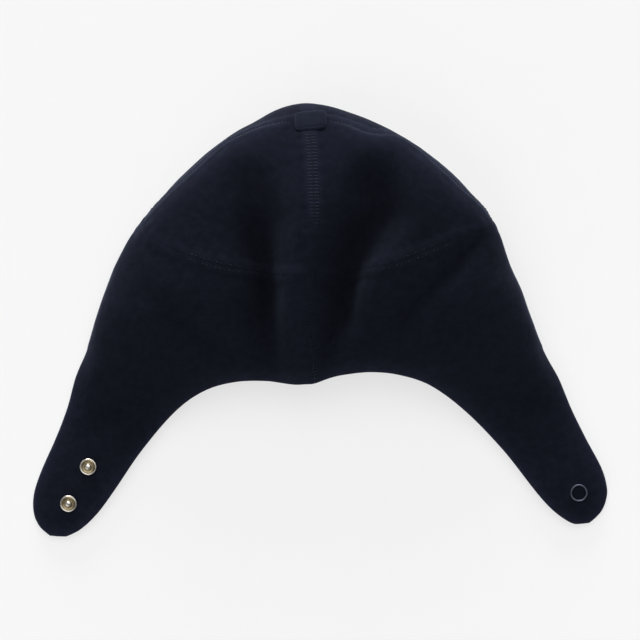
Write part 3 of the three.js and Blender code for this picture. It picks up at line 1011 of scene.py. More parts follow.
@dataclass
class ClothPanel:
    """One panel of the hat: a closed wall of cloth with rounded edges."""

    name: str
    node: str
    slot: str
    material: bpy.types.Material
    seams: HatSeams
    wall: float = WALL
    relief: SurfaceRelief = SurfaceRelief()
    rim: RimStyle = RimStyle()

    # Distances at which points merge, spare cloth, the hollow's middle, and steps along edges
    GRID_WELD: ClassVar[float] = 0.004
    EDGE_WELD: ClassVar[float] = 0.002
    CUT_SPARE: ClassVar[float] = 1.02
    HOLLOW_MIDDLE: ClassVar[tuple] = (0.0, 20.0, 16.0)
    RIM_STEP: ClassVar[float] = 0.5
    EDGE_STEP: ClassVar[float] = 0.12
    NO_RIM: ClassVar[float] = 1000.0

    def build(self, grids: Sequence[PanelGrid]) -> bpy.types.Object:
        """Builds the panel.

        Args:
            grids: the panel's grids, which meet in shared points.

        Returns:
            The finished object, whose area is logged.
        """
        bm = bmesh.new()
        sewn_layer = bm.verts.layers.int.new("sewn")
        # These layers hold painted fold shading and painted highlights, per vertex, for the fleece's
        # colour
        bm.verts.layers.float.new("painted_fold_shading")
        bm.verts.layers.float.new("painted_highlight")
        for grid in grids:
            points = HAT.points(grid.turn, grid.latitude)
            verts = MeshTools.grid(bm, points)
            for vert, sewn in zip(verts, grid.sewn.ravel()):
                vert[sewn_layer] = int(sewn)
        bmesh.ops.remove_doubles(bm, verts=bm.verts, dist=self.GRID_WELD)
        bmesh.ops.recalc_face_normals(bm, faces=bm.faces)
        self._face_outwards(bm)
        self._shape(bm, sewn_layer)
        area = sum(face.calc_area() for face in bm.faces) * MM * MM
        self._thicken(bm, sewn_layer)
        piece = MeshTools.finish(bm, self.name, self.material)
        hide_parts(self.node)
        log.info("%s: %d faces, %.4f square metres", self.name, len(piece.data.polygons), area)
        return piece

    @staticmethod
    def _flat_size(bm: bmesh.types.BMesh) -> tuple[float, float]:
        """Measures the panel as it was cut.

        Args:
            bm: the panel's mesh.

        Returns:
            Its width and length in metres.
        """
        points = np.array([v.co for v in bm.verts])
        size = (points.max(0) - points.min(0)) * MM
        return float(size[0]), float(math.hypot(size[1], size[2]))

    def _face_outwards(self, bm: bmesh.types.BMesh) -> None:
        """Turns the panel's faces away from the hat's hollow.

        Args:
            bm: the panel's mesh.
        """
        bm.normal_update()
        middle = Vector(self.HOLLOW_MIDDLE)
        out, inwards = 0.0, 0.0
        for face in bm.faces:
            if face.normal.dot(face.calc_center_median() - middle) > 0:
                out += face.calc_area()
            else:
                inwards += face.calc_area()
        if out < inwards:
            bmesh.ops.reverse_faces(bm, faces=bm.faces)

    def _shape(self, bm: bmesh.types.BMesh, sewn_layer: bmesh.types.BMLayerItem) -> None:
        """Adds seam and cloth relief along the normals and rolls the open rim down.

        Args:
            bm: the panel's mesh.
            sewn_layer: the layer that marks sewn edges.
        """
        bm.normal_update()
        points = np.array([v.co for v in bm.verts])
        normals = np.array([v.normal for v in bm.verts])
        distance, along = self.seams.all.nearest(points)
        height = self.relief.height(points, normals, distance, along)
        if "front" not in self.node:
            beside = self.seams.sides.nearest(points)[0]
            height += self.relief.seam.raised(beside, points, normals)
        moved = points + normals * height[:, None]
        rim = self._rim_distance(bm, sewn_layer)
        for middle, drop in self.rim.tips:
            across = np.clip(1 - ((points[:, 0] - middle) / self.rim.tip_reach) ** 2, 0, 1)
            near = smoothstep(-points[:, 1], *self.rim.tip_range)
            moved[:, 1] -= drop * across * near
        raised = smoothstep(points[:, 2], *self.rim.roll_range)
        moved[:, 2] -= self.rim.roll * np.exp(-((rim / self.rim.roll_reach) ** 2)) * raised
        depth = CROWN_TOP - points[:, 1]
        # Painted fold shading: darker in dents, lighter on ridges, plus the listed patches of
        # painted light and shade
        folds = HAT.fold_height(points[:, 0], depth) / FULL_FOLD + painted_patch_shade(points[:, 0], depth)
        folds *= normals[:, 2] > 0
        # Painted highlight along the open rim and beside the back and side seams
        wear_and_highlight = np.exp(-rim / self.rim.highlight_reach) + self._seam_highlight(points, normals)
        painted_fold_shading = bm.verts.layers.float["painted_fold_shading"]
        painted_highlight = bm.verts.layers.float["painted_highlight"]
        for k, vert in enumerate(bm.verts):
            vert.co = moved[k]
            vert[painted_fold_shading] = folds[k]
            vert[painted_highlight] = wear_and_highlight[k]

    def _seam_highlight(self, points: np.ndarray, normals: np.ndarray) -> np.ndarray:
        """Returns the painted highlight beside the crown's seams, where their ridges catch the
        light.

        Args:
            points: points of the cloth.
            normals: the cloth's normals there.

        Returns:
            The painted highlight at every point, where 1 is that of an open rim.
        """
        depth = CROWN_TOP - points[:, 1]
        aside = np.abs(points[:, 0] - HAT.seam_x(depth))
        upper = smoothstep(normals[:, 2], -0.1, 0.1)
        ladder = np.exp(-((aside / self.rim.ladder_reach) ** 6))
        ladder = ladder * (1 - smoothstep(depth, *self.rim.ladder_fade))
        beside = self.seams.sides.nearest(points)[0]
        sides = np.exp(-((beside / self.rim.side_reach) ** 2)) * smoothstep(aside, *TAB_ROOM)
        return upper * (self.rim.ladder_highlight * ladder + self.rim.side_highlight * sides)

    @staticmethod
    def _edge_marks(
        bm: bmesh.types.BMesh, sewn_layer: bmesh.types.BMLayerItem, step: float
    ) -> list[tuple[Vector, bool]]:
        """Marks the panel's boundary with points.

        Args:
            bm: the panel's mesh.
            sewn_layer: the layer that marks sewn edges.
            step: the distance between the points in mm.

        Returns:
            The points, each with whether the edge there is sewn.
        """
        marks = []
        for edge in bm.edges:
            if edge.is_boundary:
                a, b = edge.verts
                sewn = bool(a[sewn_layer] and b[sewn_layer])
                count = max(int(edge.calc_length() / step), 1)
                marks += [(a.co.lerp(b.co, i / count), sewn) for i in range(count + 1)]
        return marks

    def _rim_distance(
        self, bm: bmesh.types.BMesh, sewn_layer: bmesh.types.BMLayerItem
    ) -> np.ndarray:
        """Measures how far each vertex is from the panel's open, turned edge.

        Args:
            bm: the panel's mesh.
            sewn_layer: the layer that marks sewn edges.

        Returns:
            Distances in mm.
        """
        marks = self._edge_marks(bm, sewn_layer, self.RIM_STEP)
        rim = [point for point, sewn in marks if not sewn]
        if not rim:
            return np.full(len(bm.verts), self.NO_RIM)
        tree = tree_of(rim)
        return np.array([tree.find(vert.co)[2] for vert in bm.verts])

    def _thicken(self, bm: bmesh.types.BMesh, sewn_layer: bmesh.types.BMLayerItem) -> None:
        """Gives the panel its two faces, which meet in rounded edges.

        Args:
            bm: the panel's mesh.
            sewn_layer: the layer that marks sewn edges.
        """
        bm.normal_update()
        bm.verts.ensure_lookup_table()
        half = self._half_walls(bm, sewn_layer)
        normals = [v.normal.copy() for v in bm.verts]
        outer = list(bm.verts)
        doubled = bmesh.ops.duplicate(bm, geom=bm.verts[:] + bm.edges[:] + bm.faces[:])
        inner_faces = [g for g in doubled["geom"] if isinstance(g, bmesh.types.BMFace)]
        twin = doubled["vert_map"]
        for vert, normal, reach in zip(outer, normals, half):
            twin[vert].co = vert.co - normal * reach
            vert.co = vert.co + normal * reach
        bmesh.ops.reverse_faces(bm, faces=inner_faces)
        rim = [v for v in bm.verts if v.is_boundary]
        bmesh.ops.remove_doubles(bm, verts=rim, dist=self.EDGE_WELD)

    def _half_walls(
        self, bm: bmesh.types.BMesh, sewn_layer: bmesh.types.BMLayerItem
    ) -> np.ndarray:
        """Works out half the wall at each vertex, falling to nothing at the edges.

        Args:
            bm: the panel's mesh.
            sewn_layer: the layer that marks sewn edges.

        Returns:
            Half walls in mm.
        """
        marks = self._edge_marks(bm, sewn_layer, self.EDGE_STEP)
        tree = tree_of([point for point, _ in marks])
        half = np.full(len(bm.verts), self.wall / 2)
        for k, vert in enumerate(bm.verts):
            _, index, distance = tree.find(vert.co)
            round_power, reach = (Edge.SEWN if marks[index][1] else Edge.TURNED).value
            if vert.is_boundary:
                half[k] = 0.0
            elif distance < reach:
                half[k] *= (1 - (1 - distance / reach) ** round_power) ** (1 / round_power)
        return half


@dataclass
class CrownPanel(ClothPanel):
    """A quarter of the crown, between two of the seams that cross under the tab."""

    first_seam: int = 0
    steps: int = 92
    round_steps: int = 112

    # The quarter's length in mm, and the largest angle that its lap takes near the crossing
    LENGTH: ClassVar[float] = 95.0
    WIDEST_LAP: ClassVar[float] = 0.5

    def make(self) -> bpy.types.Object:
        """Lays out the quarter and builds it.

        Returns:
            The finished piece.
        """
        start = CROSSING_HOLE / DOME
        rows = edge_spread(self.steps, np.array([self.LENGTH]))[0]
        middle_angles = start + (QUARTER - start) * rows
        widths = QUARTER * np.sin(middle_angles) * self.LENGTH
        shares = edge_spread(self.round_steps, widths)
        near = HAT.seam_direction(self.first_seam, middle_angles)[:, None]
        far = HAT.seam_direction(self.first_seam + 1, middle_angles)[:, None]
        end = QUARTER + LAP / 2 / DOME - HAT.seam_bow(near + (far - near) * shares)
        angle = start + (end - start) * rows[:, None]
        lap = np.arcsin(np.minimum(LAP / 2 / (DOME * np.sin(angle)), self.WIDEST_LAP))
        direction = near - lap + (far - near + 2 * lap) * shares
        turn, latitude = HAT.from_crossing(angle, direction)
        sewn = np.ones_like(turn, bool)
        return self.build([PanelGrid(turn, latitude, sewn)])


@dataclass
class SidePanel(ClothPanel):
    """Nape, ear flap and front band of one side, wrapped round the side fold."""

    side: Side = Side.RIGHT
    rows: int = 92
    seam_columns: int = 88
    fold_columns: int = 78
    flap_columns: int = 104
    band_rows: int = 96

    # Rough lengths in mm that grid lines are spread over, and how those of the band are eased
    SEAM_LENGTH: ClassVar[float] = 108.0
    BACK_LENGTH: ClassVar[float] = 70.0
    BAND_LENGTH: ClassVar[float] = 125.0
    BAND_EASE: ClassVar[float] = 1.2
    BAND_CURVE: ClassVar[float] = 1.5

    # Shares of the rim's length opposite the back seam, side fold, flap and flap tip
    RIM_SHARES: ClassVar[tuple] = (0.0, 0.42, 0.66, 1.0)

    def _mirror(self, turn: np.ndarray | float) -> np.ndarray | float:
        """Returns a turn of the right side for this side."""
        return turn if self.side is Side.RIGHT else math.pi - turn

    def _ring_seam(self, direction: np.ndarray) -> tuple[np.ndarray, np.ndarray]:
        """Follows the seam between crown and side.

        Args:
            direction: directions round the crossing, as on the right side.

        Returns:
            Turns, which run on past the left fold, and latitudes.
        """
        turn, latitude = HAT.ring_seam(self._mirror(direction), -LAP / 2)
        if self.side is Side.LEFT:
            turn = np.where(turn < 0, turn + 2 * math.pi, turn)
        return turn, latitude

    def _outer_line(self) -> tuple[np.ndarray, np.ndarray]:
        """Lays out the line along the ring seam, the side fold and the flap's outer edge.

        Returns:
            Its turns and latitudes.
        """
        spread = edge_spread(self.seam_columns, np.array([self.SEAM_LENGTH]))[0][:-1]
        seam_turn, seam_latitude = self._ring_seam(QUARTER * (1 - spread))
        kink = float(HAT.latitude_of(KINK_DEPTH))
        tip = float(HAT.latitude_of(TIP_DEPTH[self.side]))
        fold_latitude = kink * np.linspace(0, 1, self.fold_columns + 1)[:-1]
        eased = np.sin(QUARTER * np.linspace(0, 1, self.flap_columns + 1))
        flap_latitude = kink + (tip - kink) * eased
        level = np.full(self.fold_columns + self.flap_columns + 1, self._mirror(0.0))
        turn = np.concatenate([seam_turn, level])
        return turn, np.concatenate([seam_latitude, fold_latitude, flap_latitude])

    def _rim_line(self) -> tuple[np.ndarray, np.ndarray]:
        """Lays out the line along the nape's rim and the flap's inner edge.

        Returns:
            Its turns and latitudes.
        """
        knots = np.cumsum([0, self.seam_columns, self.fold_columns, self.flap_columns])
        share = read(knots, np.array(self.RIM_SHARES), np.arange(knots[-1] + 1))
        rim = np.array(RIM[self.side])
        along = lengths_along(rim)
        at = self._even_tip(share) * along[-1]
        return HAT.seen_at(read(along, rim[:, 0], at), read(along, rim[:, 1], at))

    def _upper(self) -> PanelGrid:
        """Lays out the grid that shows from above, from the back seam to the flap's tip.

        Returns:
            The grid.
        """
        top_turn, top_latitude = self._outer_line()
        low_turn, low_latitude = self._rim_line()
        top_turn[0] = low_turn[0] = self._mirror(QUARTER + LAP_ANGLE)
        down = edge_spread(self.rows, np.full(len(top_turn), self.BACK_LENGTH)).T
        turn = top_turn + (low_turn - top_turn) * down
        latitude = top_latitude + (low_latitude - top_latitude) * down
        sewn = np.zeros_like(turn, bool)
        sewn[0, : self.seam_columns + 1] = True
        sewn[:, 0] = True
        return PanelGrid(turn, latitude, sewn)

    def _even_tip(self, share: np.ndarray) -> np.ndarray:
        """Eases the last columns towards the flap's tip, as its outer edge is eased.

        Args:
            share: the columns' shares of the rim's length.

        Returns:
            The eased shares.
        """
        first = self.seam_columns + self.fold_columns
        eased = np.sin(QUARTER * np.linspace(0, 1, self.flap_columns + 1))
        linear = np.linspace(0, 1, self.flap_columns + 1)
        share = share.copy()
        share[first:] = share[first] + (1 - share[first]) * (eased + linear) / 2
        return share

    def _lower(self) -> PanelGrid:
        """Lays out the grid that lies on the table, from the side fold to the front seam.

        Returns:
            The grid.
        """
        spread = edge_spread(self.band_rows, np.array([self.BAND_LENGTH]))[0]
        swept = QUARTER * spread**self.BAND_EASE
        swept[-1] += LAP_ANGLE
        top_turn, seam_latitude = self._ring_seam(-swept)
        top_turn[0] = self._mirror(0.0)
        seam_latitude[0] = 0.0
        depth = KINK_DEPTH + (FRONT_RIM_DEPTH - KINK_DEPTH) * np.sin(swept) ** self.BAND_CURVE
        low_turn = self._mirror(-swept)
        low_latitude = HAT.latitude_of(depth)
        down = np.linspace(0, 1, self.fold_columns + 1)[:, None]
        turn = top_turn + (low_turn - top_turn) * down
        latitude = seam_latitude + (low_latitude - seam_latitude) * down
        sewn = np.zeros_like(turn, bool)
        sewn[0, :] = True
        sewn[:, -1] = True
        return PanelGrid(turn, latitude, sewn)

    def make(self) -> bpy.types.Object:
        """Builds the side and returns it."""
        return self.build([self._upper(), self._lower()])


class Finish:
    """Helpers that put shader nodes together."""

    def __init__(self, name: str) -> None:
        """Makes an empty material with its output and main shader.

        Args:
            name: the material's name.
        """
        self.material = bpy.data.materials.new(name)
        self.material.use_nodes = True
        self.tree = self.material.node_tree
        self.tree.nodes.clear()
        self.output = self.node("ShaderNodeOutputMaterial")
        self.shader = self.node("ShaderNodeBsdfPrincipled")
        self.link(self.shader.outputs["BSDF"], self.output.inputs["Surface"])
        self.place = self.node("ShaderNodeTexCoord").outputs["Object"]

    def node(self, kind: str, **values: object) -> bpy.types.Node:
        """Adds a node.

        Args:
            kind: the node's type.
            values: its properties or input values, by name.

        Returns:
            The node.
        """
        made = self.tree.nodes.new(kind)
        for key, value in values.items():
            if key in made.inputs:
                made.inputs[key].default_value = value
            else:
                setattr(made, key, value)
        return made

    def link(self, source: bpy.types.NodeSocket, target: bpy.types.NodeSocket) -> None:
        """Joins two sockets."""
        self.tree.links.new(source, target)

    def noise(self, scale: float, detail: float = 3.0, rough: float = 0.55) -> bpy.types.NodeSocket:
        """Adds a noise pattern.

        Args:
            scale: repeats for each metre.
            detail: how many finer layers it has.
            rough: how strong the finer layers are.

        Returns:
            The pattern's factor.
        """
        made = self.node("ShaderNodeTexNoise")
        made.inputs["Scale"].default_value = scale
        made.inputs["Detail"].default_value = detail
        made.inputs["Roughness"].default_value = rough
        self.link(self.place, made.inputs["Vector"])
        return made.outputs["Fac"]

    def ramp(self, source: bpy.types.NodeSocket, stops: Sequence[tuple]) -> bpy.types.NodeSocket:
        """Reads colours from a ramp.

        Args:
            source: the values to read.
            stops: pairs of place and colour.

        Returns:
            The colours.
        """
        made = self.node("ShaderNodeValToRGB")
        elements = made.color_ramp.elements
        elements[0].position, elements[0].color = stops[0]
        elements[1].position, elements[1].color = stops[-1]
        for position, colour in stops[1:-1]:
            elements.new(position).color = colour
        self.link(source, made.inputs["Fac"])
        return made.outputs["Color"]

    def mix(
        self,
        share: bpy.types.NodeSocket | float,
        first: bpy.types.NodeSocket,
        second: bpy.types.NodeSocket,
        way: str = "MIX",
    ) -> bpy.types.NodeSocket:
        """Mixes two colours.

        Args:
            share: the second colour's share.
            first: a colour.
            second: another colour.
            way: the way of mixing.

        Returns:
            The mixed colour.
        """
        made = self.node("ShaderNodeMix", data_type="RGBA", blend_type=way)
        if isinstance(share, float):
            made.inputs[0].default_value = share
        else:
            self.link(share, made.inputs[0])
        self.link(first, made.inputs[6])
        self.link(second, made.inputs[7])
        return made.outputs[2]

    def range(
        self, source: bpy.types.NodeSocket, low: float, high: float, new_low: float, new_high: float
    ) -> bpy.types.NodeSocket:
        """Moves a value from one range to another.

        Args:
            source: the value.
            low: the old range's start.
            high: the old range's end.
            new_low: the new range's start.
            new_high: the new range's end.

        Returns:
            The moved value.
        """
        made = self.node("ShaderNodeMapRange")
        made.inputs["From Min"].default_value = low
        made.inputs["From Max"].default_value = high
        made.inputs["To Min"].default_value = new_low
        made.inputs["To Max"].default_value = new_high
        self.link(source, made.inputs["Value"])
        return made.outputs["Result"]

    def folded(self, colour: bpy.types.NodeSocket, deep: float) -> bpy.types.NodeSocket:
        """Paints shade into a colour in the dents, and light onto the ridges.

        Args:
            colour: the colour.
            deep: the share of it that is left in a full dent.

        Returns:
            The shaded colour.
        """
        # Painted shade in the dents and painted light on the ridges, read from a per-vertex
        # attribute
        painted_fold_shading = self.node("ShaderNodeAttribute", attribute_name="painted_fold_shading").outputs["Fac"]
        ridge = 0.4
        shade = self.range(painted_fold_shading, -1.0, ridge, deep, 1.0 + ridge * (1.0 - deep))
        return self.mix(1.0, colour, shade, "MULTIPLY")

    def bump(self, height: bpy.types.NodeSocket, distance: float, strength: float) -> None:
        """Adds a bump to the main shader, on top of any before it.

        Args:
            height: the bump's pattern.
            distance: its height in metres.
            strength: how much of it shows.
        """
        made = self.node("ShaderNodeBump")
        made.inputs["Distance"].default_value = distance
        made.inputs["Strength"].default_value = strength
        self.link(height, made.inputs["Height"])
        target = self.shader.inputs["Normal"]
        if target.is_linked:
            self.link(target.links[0].from_socket, made.inputs["Normal"])
        self.link(made.outputs["Normal"], target)


@dataclass(frozen=True)
class FleeceFinish:
    """Matt wind-stop fleece with a short, slightly clumped pile."""

    name: str
    dark: tuple = (0.0051, 0.0060, 0.0111, 1.0)
    light: tuple = (0.0086, 0.0103, 0.0187, 1.0)
    sheen: float = 0.2
    fold_shade: float = 0.45
    patchy: float = 0.28
    painted_highlight: float = 1.3
    sheen_tint: tuple = (0.36, 0.42, 0.62, 1.0)

    def make(self) -> bpy.types.Material:
        """Puts the fleece together.

        Returns:
            The material.
        """
        fin = Finish(self.name)
        pile = fin.noise(scale=900.0, detail=4.0, rough=0.65)
        clumps = fin.noise(scale=230.0, detail=3.0, rough=0.6)
        patches = fin.noise(scale=14.0, detail=3.0, rough=0.5)
        colour = fin.ramp(clumps, [(0.32, self.dark), (0.72, self.light)])
        patch_colour = fin.ramp(patches, [(0.3, self.dark), (0.75, self.light)])
        # Painted fold shade: the colour darkens in dents and lightens on ridges
        mixed = fin.folded(fin.mix(self.patchy, colour, patch_colour), self.fold_shade)
        # Painted highlight: the colour is lighter along open rims and beside the crown's seams
        highlight_share = fin.node("ShaderNodeAttribute", attribute_name="painted_highlight").outputs["Fac"]
        mixed = fin.mix(1.0, mixed, fin.range(highlight_share, 0.0, 1.0, 1.0, 1.0 + self.painted_highlight), "MULTIPLY")
        fin.link(mixed, fin.shader.inputs["Base Color"])
        fin.link(fin.range(pile, 0.3, 0.7, 0.86, 1.0), fin.shader.inputs["Roughness"])
        fin.shader.inputs["Specular IOR Level"].default_value = 0.04
        fin.shader.inputs["Sheen Weight"].default_value = self.sheen
        fin.shader.inputs["Sheen Roughness"].default_value = 0.45
        fin.shader.inputs["Sheen Tint"].default_value = self.sheen_tint
        fin.bump(clumps, distance=0.0005, strength=0.5)
        fin.bump(pile, distance=0.00022, strength=0.6)
        return fin.material


@dataclass(frozen=True)
class ThreadFinish:
    """Soft twisted sewing thread, a little lighter than the fleece."""

    name: str
    colour: tuple = (0.0104, 0.0120, 0.0225, 1.0)
    light: tuple = (0.0150, 0.0172, 0.0318, 1.0)
    fold_shade: float = 0.45

    def make(self) -> bpy.types.Material:
        """Puts the thread's finish together.

        Returns:
            The material.
        """
        fin = Finish(self.name)
        fibres = fin.noise(scale=2600.0, detail=2.0, rough=0.5)
        twist = fin.ramp(fibres, [(0.35, self.colour), (0.7, self.light)])
        # Threads take the same painted fold shade as the cloth under them
        fin.link(fin.folded(twist, self.fold_shade), fin.shader.inputs["Base Color"])
        fin.shader.inputs["Roughness"].default_value = 0.72
        fin.shader.inputs["Specular IOR Level"].default_value = 0.12
        fin.shader.inputs["Sheen Weight"].default_value = 0.1
        fin.bump(fibres, distance=0.00006, strength=0.5)
        return fin.material


@dataclass(frozen=True)
class MetalFinish:
    """Plated or lacquered snap metal, which fine scuffs make smoother or duller."""

    name: str
    colour: tuple
    wear_and_highlight: tuple
    roughness: float = 0.24
    metallic: float = 1.0
    polish: float = 0.06
    dull: float = 0.12

    def make(self) -> bpy.types.Material:
        """Puts the metal together.

        Returns:
            The material.
        """
        fin = Finish(self.name)
        stains = fin.noise(scale=420.0, detail=4.0, rough=0.6)
        fin.link(
            fin.ramp(stains, [(0.35, self.colour), (0.75, self.wear_and_highlight)]),
            fin.shader.inputs["Base Color"],
        )
        scratches = fin.noise(scale=1500.0, detail=5.0, rough=0.7)
        fin.link(
            fin.range(scratches, 0.3, 0.7, self.roughness - self.polish, self.roughness + self.dull),
            fin.shader.inputs["Roughness"],
        )
        fin.shader.inputs["Metallic"].default_value = self.metallic
        fin.bump(scratches, distance=0.00002, strength=0.3)
        return fin.material


@dataclass(frozen=True)
class StitchPlan:
    """How one seam is stitched, in mm: bars on both sides of it, or a row on each side."""

    pitch: float
    inner: float
    outer: float
    narrow: float
    thread: float
    bars: bool


class StitchStyle(Enum):
    """The hat's two looks of flatlock seam."""

    LADDER = StitchPlan(pitch=1.9, inner=-0.4, outer=3.8, narrow=2.1, thread=0.52, bars=True)
    TWIN_ROWS = StitchPlan(pitch=2.5, inner=1.6, outer=1.6, narrow=1.6, thread=0.21, bars=False)


class SeamGround(NamedTuple):
    """A seam with the cloth near and far beside it, and the fold heights there that set its threads'
    painted shade.
    """

    seam: SeamLine
    near: dict[int, np.ndarray]
    far: dict[int, np.ndarray]
    sunk: np.ndarray
    folds: np.ndarray


@dataclass
class StitchWork:
    """Flatlock stitching laid on the finished cloth.

    A thread tapers and dips at its ends and is bedded in the pile, in shares of its own half
    thickness. Sunk stitches are thinner and deeper, and each stitch is a little uneven.
    """

    material: bpy.types.Material
    seams: HatSeams
    relief: SurfaceRelief = SurfaceRelief()
    sides: int = 6
    taper: float = 0.75
    least_taper: float = 0.1
    dip: float = 1.4
    bedded: float = 0.15
    row_share: float = 0.72
    sunk_thread: float = 0.45
    sunk_depth: float = 0.16
    sunk_from: tuple = (55.0, 80.0)
    sunk_middle: float = -3.0
    sunk_aside: tuple = (25.0, 60.0)
    sunk_above: float = 14.0
    uneven: float = 0.08
    uneven_pitch: float = 0.1

    def _thread(self) -> bpy.types.Mesh:
        """Makes a short thread along X, one unit long and narrower at both ends.

        Returns:
            Its mesh, to copy for every stitch.
        """
        bm = bmesh.new()
        # Holds the painted fold shade of the cloth under each thread
        bm.verts.layers.float.new("painted_fold_shading")
        bmesh.ops.create_cone(
            bm, cap_ends=True, segments=self.sides, radius1=1.0, radius2=1.0, depth=1.0
        )
        bmesh.ops.rotate(bm, matrix=Matrix.Rotation(QUARTER, 3, "Y"), verts=bm.verts)
        long_edges = [e for e in bm.edges if abs(e.verts[0].co.x - e.verts[1].co.x) > 0.5]
        bmesh.ops.subdivide_edges(bm, edges=long_edges, cuts=3)
        for vert in bm.verts:
            narrow = math.sqrt(max(1 - self.taper * (2 * abs(vert.co.x)) ** 4, self.least_taper))
            vert.co.y *= narrow
            vert.co.z *= narrow
        mesh = bpy.data.meshes.new("thread_template")
        bm.to_mesh(mesh)
        bm.free()
        return mesh

    def _put(
        self,
        bm: bmesh.types.BMesh,
        template: bpy.types.Mesh,
        centre: np.ndarray,
        axes: tuple[np.ndarray, np.ndarray],
        length: float,
        thread: float,
        fold: float,
    ) -> None:
        """Adds one thread, its ends dipping into the cloth.

        Args:
            bm: the mesh to add to.
            template: the thread to copy.
            centre: the thread's middle.
            axes: its direction and the cloth's normal.
            length: its length.
            thread: its half thickness.
            fold: the height of the fold that it lies on, which sets the thread's painted fold shade.
        """
        start = len(bm.verts)
        bm.from_mesh(template)
        bm.verts.ensure_lookup_table()
        painted_fold_shading = bm.verts.layers.float["painted_fold_shading"]
        way, normal = axes
        side = np.cross(normal, way)
        for vert in bm.verts[start:]:
            x, y, z = vert.co
            sink = thread * self.dip * (2 * x) ** 8
            vert.co = centre + way * x * length + side * y * thread + normal * (z * thread - sink)
            vert.co.z = max(vert.co.z, 0.0)
            vert[painted_fold_shading] = fold / FULL_FOLD

    def _lifts(self, seam: SeamLine, distance: float) -> dict[int, np.ndarray]:
        """Returns the cloth's height above the plain form on both sides of a seam.

        Args:
            seam: the seam.
            distance: how far beside it.

        Returns:
            For each side, the height beside every point of the seam.
        """
        count = len(seam.points)
        along = np.arange(count) * SeamLine.STEP
        beside = np.full(count, distance)
        relief = HALF_WALL + self.relief.height(seam.points, seam.normal, beside, along)
        lifts = {-1: relief, 1: relief}
        if seam.name in HatSeams.SIDE_SEAMS:
            back = -1 if seam.across[count // 2][1] > 0 else 1
            lifts[back] = relief + self.relief.seam.raised(beside, seam.points, seam.normal)
        return lifts

    def _sunk(self, seam: SeamLine) -> np.ndarray:
        """Returns how far a seam's stitches sink into the pile, from 0 to 1.

        Args:
            seam: the seam.

        Returns:
            The share at every point: all of it in a side seam and low on the back.
        """
        if seam.name in HatSeams.SIDE_SEAMS:
            return np.ones(len(seam.points))
        depth = CROWN_TOP - seam.points[:, 1]
        aside = np.abs(seam.points[:, 0] - self.sunk_middle)
        low = smoothstep(depth, *self.sunk_from)
        middle = 1 - smoothstep(aside, *self.sunk_aside)
        return low * middle * (seam.points[:, 2] > self.sunk_above)

    def build(
        self, name: str, seam_names: Sequence[str], style: StitchStyle, start: float = 0.0
    ) -> bpy.types.Object:
        """Builds the stitches of some seams as one piece.

        Args:
            name: the piece's name.
            seam_names: the seams it follows.
            style: the seams' look.
            start: length in mm left bare at each seam's start.

        Returns:
            The finished piece.
        """
        plan = style.value
        rng = np.random.default_rng(len(name))
        template = self._thread()
        bm = bmesh.new()
        for seam_name in seam_names:
            seam = self.seams.lines[seam_name]
            ground = SeamGround(
                seam,
                self._lifts(seam, max(plan.inner, 0.0)),
                self._lifts(seam, plan.outer),
                self._sunk(seam),
                HAT.fold_height(seam.points[:, 0], CROWN_TOP - seam.points[:, 1]),
            )
            for along in np.arange(start, seam.length - 1.0, plan.pitch):
                self._stitch(bm, template, ground, float(along), plan, rng)
        piece = MeshTools.finish(bm, name, self.material)
        bpy.data.meshes.remove(template)
        log.info("%s: %d faces", name, len(piece.data.polygons))
        return piece

    def _stitch(
        self,
        bm: bmesh.types.BMesh,
        template: bpy.types.Mesh,
        ground: SeamGround,
        along: float,
        plan: StitchPlan,
        rng: np.random.Generator,
    ) -> None:
        """Adds one stitch on each side of a seam.

        Args:
            bm: the mesh to add to.
            template: the thread to copy.
            ground: the seam and the cloth beside it.
            along: the stitch's length along the seam.
            plan: how the seam is stitched.
            rng: the source of small unevenness.
        """
        k = ground.seam.index_at(along + rng.uniform(-self.uneven_pitch, self.uneven_pitch))
        point, tangent, across, normal = ground.seam.frame_at(k)
        sunk = float(ground.sunk[k])
        outer = plan.outer + (plan.narrow - plan.outer) * sunk
        thread = plan.thread * (1 - self.sunk_thread * sunk)
        for side in (-1, 1):
            lean = rng.uniform(-self.uneven, self.uneven)
            near, far = ground.near[side][k], ground.far[side][k]
            if plan.bars:
                flat = across * math.cos(lean) + tangent * math.sin(lean)
                rise = side * (far - near) / plan.outer
                way = (flat + normal * rise) / math.hypot(1.0, rise)
                length = (outer - plan.inner) * math.hypot(1.0, rise)
            else:
                way = tangent * math.cos(lean) + across * math.sin(lean)
                length = plan.pitch * self.row_share
            offset = side * ((plan.inner + outer) / 2 + rng.uniform(-self.uneven, self.uneven))
            lift = (near + far) / 2 - thread * self.bedded - self.sunk_depth * sunk
            centre = point + across * offset + normal * lift
            self._put(bm, template, centre, (way, normal), length, thread, ground.folds[k])


